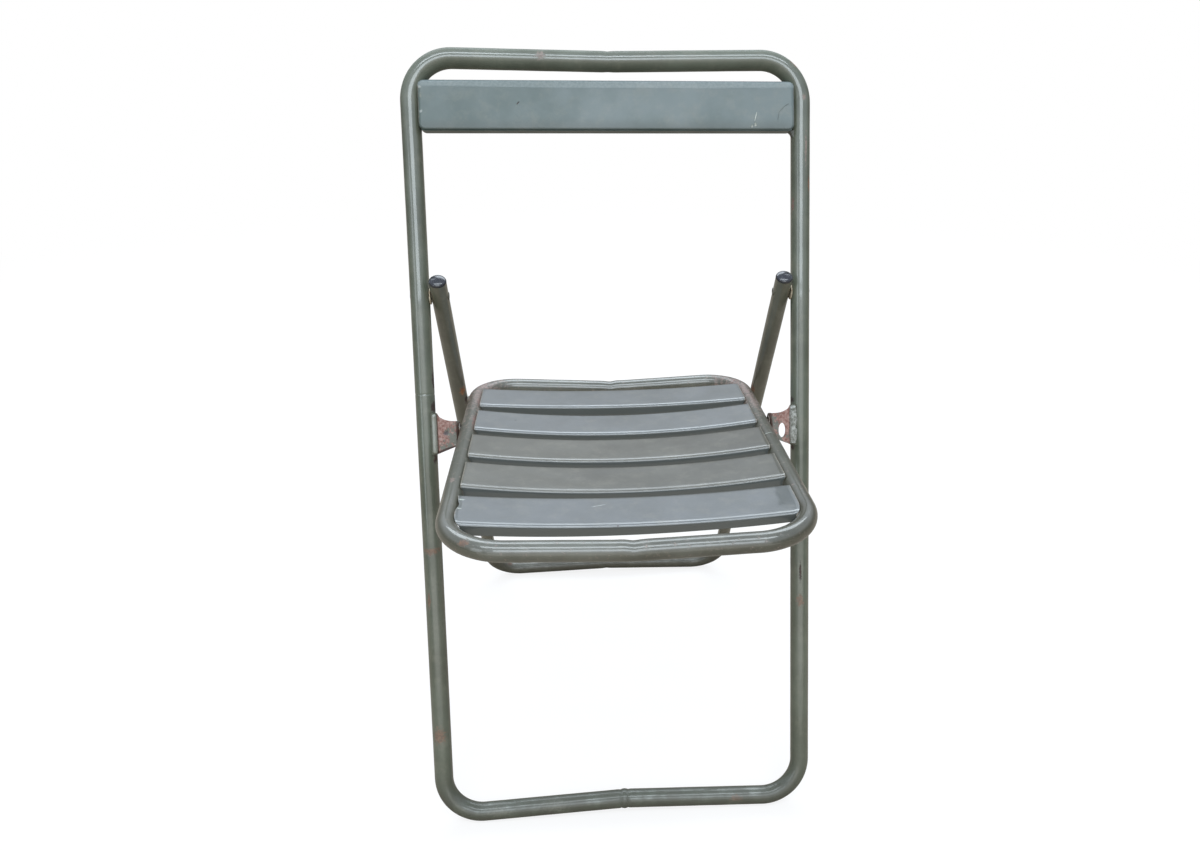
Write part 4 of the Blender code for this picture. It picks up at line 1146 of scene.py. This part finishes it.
def make_seat_pivots():
    tail = ((0, 0.2), (3, 0.1), (4.2, -0.2), (2.5, -1.4))
    flange_outer = MAIN_WIDTH / 2 - BRACKET_FLANGE + BRACKET_SHEET / 2
    seat_inner = SEAT_WIDTH / 2 - SEAT_RADIUS
    head = [(r, seat_inner - h) for r, h in dome(*SEAT_RIVET_HEAD)]
    profile = seated(flange_outer, tail) + seated(seat_inner, [(2.5, 0.5)]) + head[::-1]
    ring = rounded_ring(SEAT_WIDTH / 2 + SEAT_RADIUS + GAP, *SEAT_WASHER)
    for sign, name in SIDES:
        place = MAIN @ to_side(sign, (0, 0, SEAT_PIVOT_HEIGHT))
        add_turned("seat_rivet_" + name, "_steel", profile, place, "frame", STEEL, "bare_steel")
        add_turned("seat_washer_" + name, "_ring", ring, place, "frame", STEEL, "bare_steel")


def make_slide_pins():
    for sign, name in SIDES:
        node = "slide_pin_" + name
        low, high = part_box(node)
        root, tip = sorted((abs(low.x), abs(high.x)))
        radius = (high.z - low.z) / 2
        upper = arc((radius - STUD_TIP_ROUND, tip - STUD_TIP_ROUND), STUD_TIP_ROUND, 90, 0, 5)
        lower = arc((radius - STUD_ROOT_ROUND, root + STUD_ROOT_ROUND), STUD_ROOT_ROUND, 0, -90, 4)
        profile = [(0, tip), *upper, *lower, (0, root)]
        place = to_side(sign, (0, (low.y + high.y) / 2, (low.z + high.z) / 2))
        add_turned(node, "_steel", profile, place, "seat", STEEL, "bare_steel")


def bracket_section():
    """The bracket's sheet seen from above, as (inwards, forwards) from the upright's centreline."""
    saddle = MAIN_RADIUS + GAP + BRACKET_SHEET / 2
    angles = evenly(BRACKET_SADDLE_FROM, BRACKET_SADDLE_TO, FOLD_STEPS)
    section = [(saddle * cos(angle), saddle * sin(angle)) for angle in angles]
    flat = BRACKET_FLANGE - BRACKET_FOLD
    web = evenly(BRACKET_WEB_START, flat, BRACKET_STEPS)[:-1]
    section += [(inwards, BRACKET_WEB_FRONT) for inwards in web]
    corner = (flat, BRACKET_WEB_FRONT - BRACKET_FOLD)
    return section + arc(corner, BRACKET_FOLD, 90, 0)


def bracket_edges(inwards):
    """Heights of a bracket's lower and upper edge: the lower runs straight, the upper falls away early."""
    share = min(max((inwards - MAIN_RADIUS) / (BRACKET_FLANGE - MAIN_RADIUS), 0), 1)
    middle = SEAT_PIVOT_HEIGHT - BRACKET_DROP
    root = BRACKET_ROOT_HEIGHT / 2
    loss = (BRACKET_ROOT_HEIGHT - BRACKET_TIP_HEIGHT) / 2
    fall = 1 - (1 - share) ** BRACKET_SHOULDER
    return middle - root + loss * share, middle + root - loss * fall


def make_brackets():
    for sign, name in SIDES:
        rows = [(inwards, forwards, *bracket_edges(inwards)) for inwards, forwards in bracket_section()]
        low, high = bracket_edges(BRACKET_FLANGE)
        for angle in evenly(0, pi / 2, FOLD_STEPS)[1:]:
            draw_in = (1 - cos(angle)) * BRACKET_EYE_DRAW
            rows.append((BRACKET_FLANGE, -BRACKET_EYE * sin(angle), low + draw_in, high - draw_in))
        points = []
        for inwards, forwards, bottom, top in rows:
            row = []
            for height in evenly(bottom, top, BRACKET_ROWS):
                front = forwards + BRACKET_WAVE * noise.noise((inwards * 160, height * 160, 5.0 * sign))
                if sign < 0:
                    away = hypot(inwards - BRACKET_MARK_SET, height - SEAT_PIVOT_HEIGHT + DIMPLE_DROP)
                    front -= hump(away, DIMPLE_DEPTH, DIMPLE_RADIUS) if forwards > 0 else 0
                row.append((sign * (MAIN_WIDTH / 2 - inwards), -front, height))
            points.append(row)
        cutters = []
        if sign > 0:
            turns = evenly(0, tau, TURNED_STEPS)[:-1]
            oval = [(HOLE_WIDTH / 2 * cos(turn), HOLE_HEIGHT / 2 * sin(turn)) for turn in turns]
            hole = slab("hole", oval, 0, 2 * MAIN_RADIUS)
            hole.transform(Matrix.Rotation(-pi / 2, 4, "Z"))
            place = (MAIN_WIDTH / 2 - BRACKET_MARK_SET, 0, SEAT_PIVOT_HEIGHT - HOLE_DROP)
            hole.transform(Matrix.Translation(place))
            cutters.append(hole)
        node = "seat_bracket_" + name
        mesh = refine(skin(node, points), BRACKET_SHEET, 0, cutters, EDGE_ROUND)
        add_piece(node + "_sheet", mesh, MAIN, "frame", BRACKET_RUST[name], "bracket_paint", node)


def make_weld_beads():
    """The thick painted beads that hold each bracket's saddle to its upright, lumpier on the right."""
    angle = (BRACKET_SADDLE_FROM + BRACKET_SADDLE_TO) / 2
    reach = MAIN_RADIUS + BRACKET_SHEET
    middle = SEAT_PIVOT_HEIGHT - BRACKET_DROP
    half = BRACKET_ROOT_HEIGHT / 2 - WELD_SHORT
    for sign, name in SIDES:
        x = sign * (MAIN_WIDTH / 2 - reach * cos(angle))
        y = -reach * sin(angle)
        line = [Vector((x, y, z)) for z in evenly(middle - half, middle + half, WELD_STEPS)]
        radius, lumps = WELD_RADII[name], WELD_LUMPS[name]

        def shape(place, turn):
            ends = min(1, place / radius, (2 * half - place) / radius)
            swell = noise.noise((place * WELD_GRAIN, 1.5 * cos(turn), 1.5 * sin(turn) + sign))
            ripples = WELD_RIPPLE * sin(place * WELD_RIPPLES)
            rounding = radius * (1 - sqrt(1 - (1 - max(ends, 0)) ** 2)) * WELD_TIP
            return lumps * (swell + ripples) - rounding

        bead = sweep("bead", line, radius, Vector((0, 1, 0)), False, (0, 2 * half), shape)
        add_piece("bracket_weld_" + name, bead, MAIN, "frame", WELDS[name], "tube_paint")


# Places on the seat that the lights are set round and face
SEAT_EDGE = Vector((0, -0.30, 0.41))
SEAT_MIDDLE = Vector((0, -0.10, 0.42))
# Light of the room at heights from straight down, -1, over the horizon, 0, to straight up, 1
ROOM = (
    (-1.0, (0.12, 0.115, 0.105)),
    (0.0, (0.15, 0.148, 0.142)),
    (0.24, (0.24, 0.24, 0.24)),
    (0.31, (0.54, 0.57, 0.61)),
    (0.37, (0.58, 0.60, 0.63)),
    (0.45, (0.80, 0.87, 0.98)),
    (0.60, (0.62, 0.68, 0.78)),
    (1.0, (0.62, 0.68, 0.78)),
)
# How much of the floor's own glow mirrors in gloss, so that undersides stay dark
GLOSS_GLOW = 0.02
# How much of the floor's white is its own near the chair, where it takes the shadow
FLOOR_GLOW = 0.82
FLOOR_REACH = 400.0
FLOOR_WHITE = (0.95, 0.95, 0.95, 1)
# The warmer colour with which the floor lights the undersides
FLOOR_BOUNCE = (0.28, 0.237, 0.185, 1)


def make_camera():
    """The photograph's camera, on an image of 1200 by 851."""
    image_width, image_height = 1200, 851
    place = (-0.04443, -0.84904, 0.81108)
    yaw, pitch, roll = (radians(degrees) for degrees in (5.1012, 28.706, -0.7706))
    focal = 854.1228
    centre = (642.7084, 462.6985)
    turn = Matrix.Rotation(-yaw, 4, "Z") @ Matrix.Rotation(pi / 2 - pitch, 4, "X")
    data = bpy.data.cameras.new("camera")
    data.sensor_fit = "HORIZONTAL"
    data.lens = focal / image_width * data.sensor_width
    data.shift_x = (image_width / 2 - centre[0]) / image_width
    data.shift_y = (centre[1] - image_height / 2) / image_width
    camera = new_object("camera", data)
    camera.matrix_world = Matrix.Translation(place) @ turn @ Matrix.Rotation(-roll, 4, "Z")
    bpy.context.scene.camera = camera


def add_light(name, place, length, width, radiance, colour):
    """A soft rectangle of light, level along X, that faces the seat."""
    data = bpy.data.lights.new(name, "AREA")
    data.shape = "RECTANGLE"
    data.size = length
    data.size_y = width
    data.energy = pi * length * width * radiance
    data.color = colour
    light = new_object(name, data)
    light.location = place
    light.rotation_mode = "QUATERNION"
    light.rotation_quaternion = (SEAT_MIDDLE - place).to_track_quat("-Z", "Y")
    light.visible_camera = False


def toward(distance, elevation):
    """A place this far from the front of the seat, at an elevation in degrees counted from the front."""
    angle = radians(elevation)
    return SEAT_EDGE + distance * Vector((0, -cos(angle), sin(angle)))


def make_lights():
    """Three strips that draw lines on the bars, a window at the left, soft light in front, and the room."""
    warm, cool = (1.0, 0.97, 0.93), (0.86, 0.94, 1.0)
    add_light("front_strip", toward(6.0, 38), 3.9, 1.9, 3.8, cool)
    add_light("overhead_strip", toward(5.7, 71), 6.0, 1.4, 5.2, cool)
    add_light("back_strip", toward(6.9, 130), 8.0, 3.2, 3.6, cool)
    add_light("left_window", Vector((-4.3, -4.2, 2.3)), 1.7, 3.0, 1.6, cool)
    add_light("low_fill", toward(8.4, 13), 9.0, 4.2, 0.65, warm)
    add_light("front_card", Vector((0, -1.9, 0.27)), 3.2, 0.5, 0.5, warm)
    world = bpy.data.worlds.new("room")
    world.use_nodes = True
    nodes = Nodes(world.node_tree)
    height = nodes.node("ShaderNodeSeparateXYZ", {0: nodes.coordinates["Generated"]}).outputs["Z"]
    share = nodes.node("ShaderNodeMapRange", {"Value": height, "From Min": -1.0}).outputs[0]
    sky = nodes.node("ShaderNodeValToRGB", {0: share})
    stops = sky.color_ramp.elements
    while len(stops) < len(ROOM):
        stops.new(0.5)
    for stop, (place, colour) in zip(stops, ROOM):
        stop.position = (place + 1) / 2
        stop.color = (*colour, 1)
    rays = nodes.node("ShaderNodeLightPath", {}).outputs
    seen = nodes.mix(rays["Is Camera Ray"], sky.outputs[0], (1, 1, 1, 1))
    nodes.feed(nodes.tree.nodes["Background"].inputs["Color"], seen)
    bpy.context.scene.world = world


def make_floor():
    """A wide pale floor that looks white and still takes the chair's shadow."""
    finish = Finish("pale_floor")
    rays = finish.node("ShaderNodeLightPath", {}).outputs
    through = finish.most(rays["Is Camera Ray"], rays["Is Transmission Ray"])
    seen = finish.most(through, finish.times(rays["Is Glossy Ray"], GLOSS_GLOW))
    finish.set(
        Base_Color=finish.mix(seen, FLOOR_BOUNCE, FLOOR_WHITE),
        Roughness=0.9,
        Specular_IOR_Level=0.0,
    )
    glow = finish.node("ShaderNodeEmission", {"Color": (1, 1, 1, 1)})
    away = finish.vector("LENGTH", finish.place)["Value"]
    share = finish.ramp(away, 1.0, 3.0, FLOOR_GLOW, 1.0)
    both = finish.node("ShaderNodeMixShader", {"Fac": finish.times(seen, share)})
    finish.feed(both.inputs[1], finish.shader.outputs[0])
    finish.feed(both.inputs[2], glow.outputs[0])
    finish.feed(finish.tree.nodes["Material Output"].inputs["Surface"], both.outputs[0])
    edges = (-FLOOR_REACH, FLOOR_REACH)
    floor = new_object("floor", skin("floor", [[(x, y, 0) for y in edges] for x in edges]))
    floor.data.materials.append(finish.material)


# Paints: the darker and the lighter colour of each
OLIVE = (tone(81, 87, 73), tone(94, 101, 87))
BROWN_OLIVE = (tone(72, 73, 62), tone(95, 97, 87))
LEG_OLIVE = (tone(80, 80, 66), tone(92, 92, 77))
GREY_GREEN = (tone(70, 89, 86), tone(94, 109, 109))
SLAT_GREY = (tone(90, 94, 92), tone(102, 106, 106))
SLAT_OLIVE = (tone(77, 76, 66), tone(93, 92, 82))
SLAT_END_WEAR = 0.1468
TUBE_PAINT = worn_paint("frame_paint", *OLIVE, 0.30, MAIN_MARKS, dusty=(0.705, 0.735))
# The seat's paint is lighter on the left and darker on the right: painted light and shade.
SEAT_PAINT = worn_paint(
    "seat_paint", *BROWN_OLIVE, 0.32, SEAT_MARKS, SEAT_GLINT_LINES, scuffed=(-0.12, 0.08), painted_side_light=-1.0
)
LEG_PAINT = worn_paint("leg_paint", *LEG_OLIVE, 0.34, LEG_MARKS)
PANEL_PAINT = worn_paint(
    "panel_paint",
    *GREY_GREEN,
    gloss=0.43,
    marks=PANEL_MARKS,
    streaks=PANEL_STREAKS,
    ends=0.1895,
    coat=0.2,
    # The panel's paint darkens towards its bottom edge.
    low_darkening=(0.703, 0.691),
    # The panel's paint is lighter on the right than on the left: painted light and shade.
    painted_side_light=1.0,
)
# Dark paint for the panel's weld fillet: painted shade, where the hollow lies in shadow behind the panel's
# lip.
SHADED_FILLET_PAINT = worn_paint("shaded_fillet_paint", tone(46, 49, 38), tone(62, 64, 52), 0.5, (), coat=0.0)
CLEAR_SLAT = worn_paint(
    "slat_paint", *SLAT_GREY, 0.30, SLAT_MARKS, SLAT_STREAKS, ends=SLAT_END_WEAR, flank=tone(88, 92, 89)
)
DULL_SLAT = worn_paint(
    "dull_slat_paint",
    *SLAT_OLIVE,
    gloss=0.34,
    marks=SLAT_MARKS,
    ends=SLAT_END_WEAR,
    coat=0.65,
    flank=tone(87, 92, 90),
    # These slats' paint darkens towards the right: painted shade.
    painted_side_light=-1.4,
)
SLAT_PAINTS = (CLEAR_SLAT, DULL_SLAT, DULL_SLAT, CLEAR_SLAT, CLEAR_SLAT)
SMOOTH_WELD = worn_paint("weld_paint", tone(118, 122, 110), tone(140, 144, 134), 0.30, MAIN_MARKS)
WELDS = {"left": SMOOTH_WELD, "right": weld_finish()}
PAINTED_RIVET = worn_paint("rivet_paint", tone(58, 58, 47), tone(74, 74, 61), 0.45, (), coat=0.2)
BRACKET_RUST = {
    "left": rusted_paint("rust_left", 0.3),
    "right": rusted_paint("rust_right", 8.1),
}
STEEL_TONES = (tone(150, 146, 138), tone(96, 70, 54))
FIBRE_TONES = (tone(218, 206, 182), tone(170, 150, 124))
CAP_TONES = (tone(26, 29, 38), tone(56, 59, 66))
CAP_COAT = {"IOR": 1.6, "Coat_Weight": 0.5, "Coat_Roughness": 0.12, "Coat_IOR": 1.6}
STEEL = stained("dull_steel", (220, 5, 0.65), (0.40, 0.62), *STEEL_TONES, (0.38, 0.7), (700, 3), (0.9, 0.2))
WASHER = stained("pale_washer", (300, 4, 0.6), (0.35, 0.7), *FIBRE_TONES, (0.5, 0.75), (900,))
CAP = stained("black_cap", (380, 5, 0.7), (0.50, 0.72), *CAP_TONES, (0.24, 0.45), (300,), **CAP_COAT)

for sleeve in ("main_frame_sleeve", "seat_frame_sleeve"):
    frame["nodes"][sleeve].data.materials.clear()
    frame["nodes"][sleeve].data.materials.append(STEEL)

make_main_frame()
make_backrest_panel()
make_panel_fillet()
make_rear_leg()
make_leg_caps()
make_leg_pivots()
make_seat_frame()
make_slats()
make_seat_pivots()
make_slide_pins()
make_brackets()
make_weld_beads()
make_camera()
make_lights()
make_floor()
bpy.context.scene.view_settings.view_transform = "Standard"
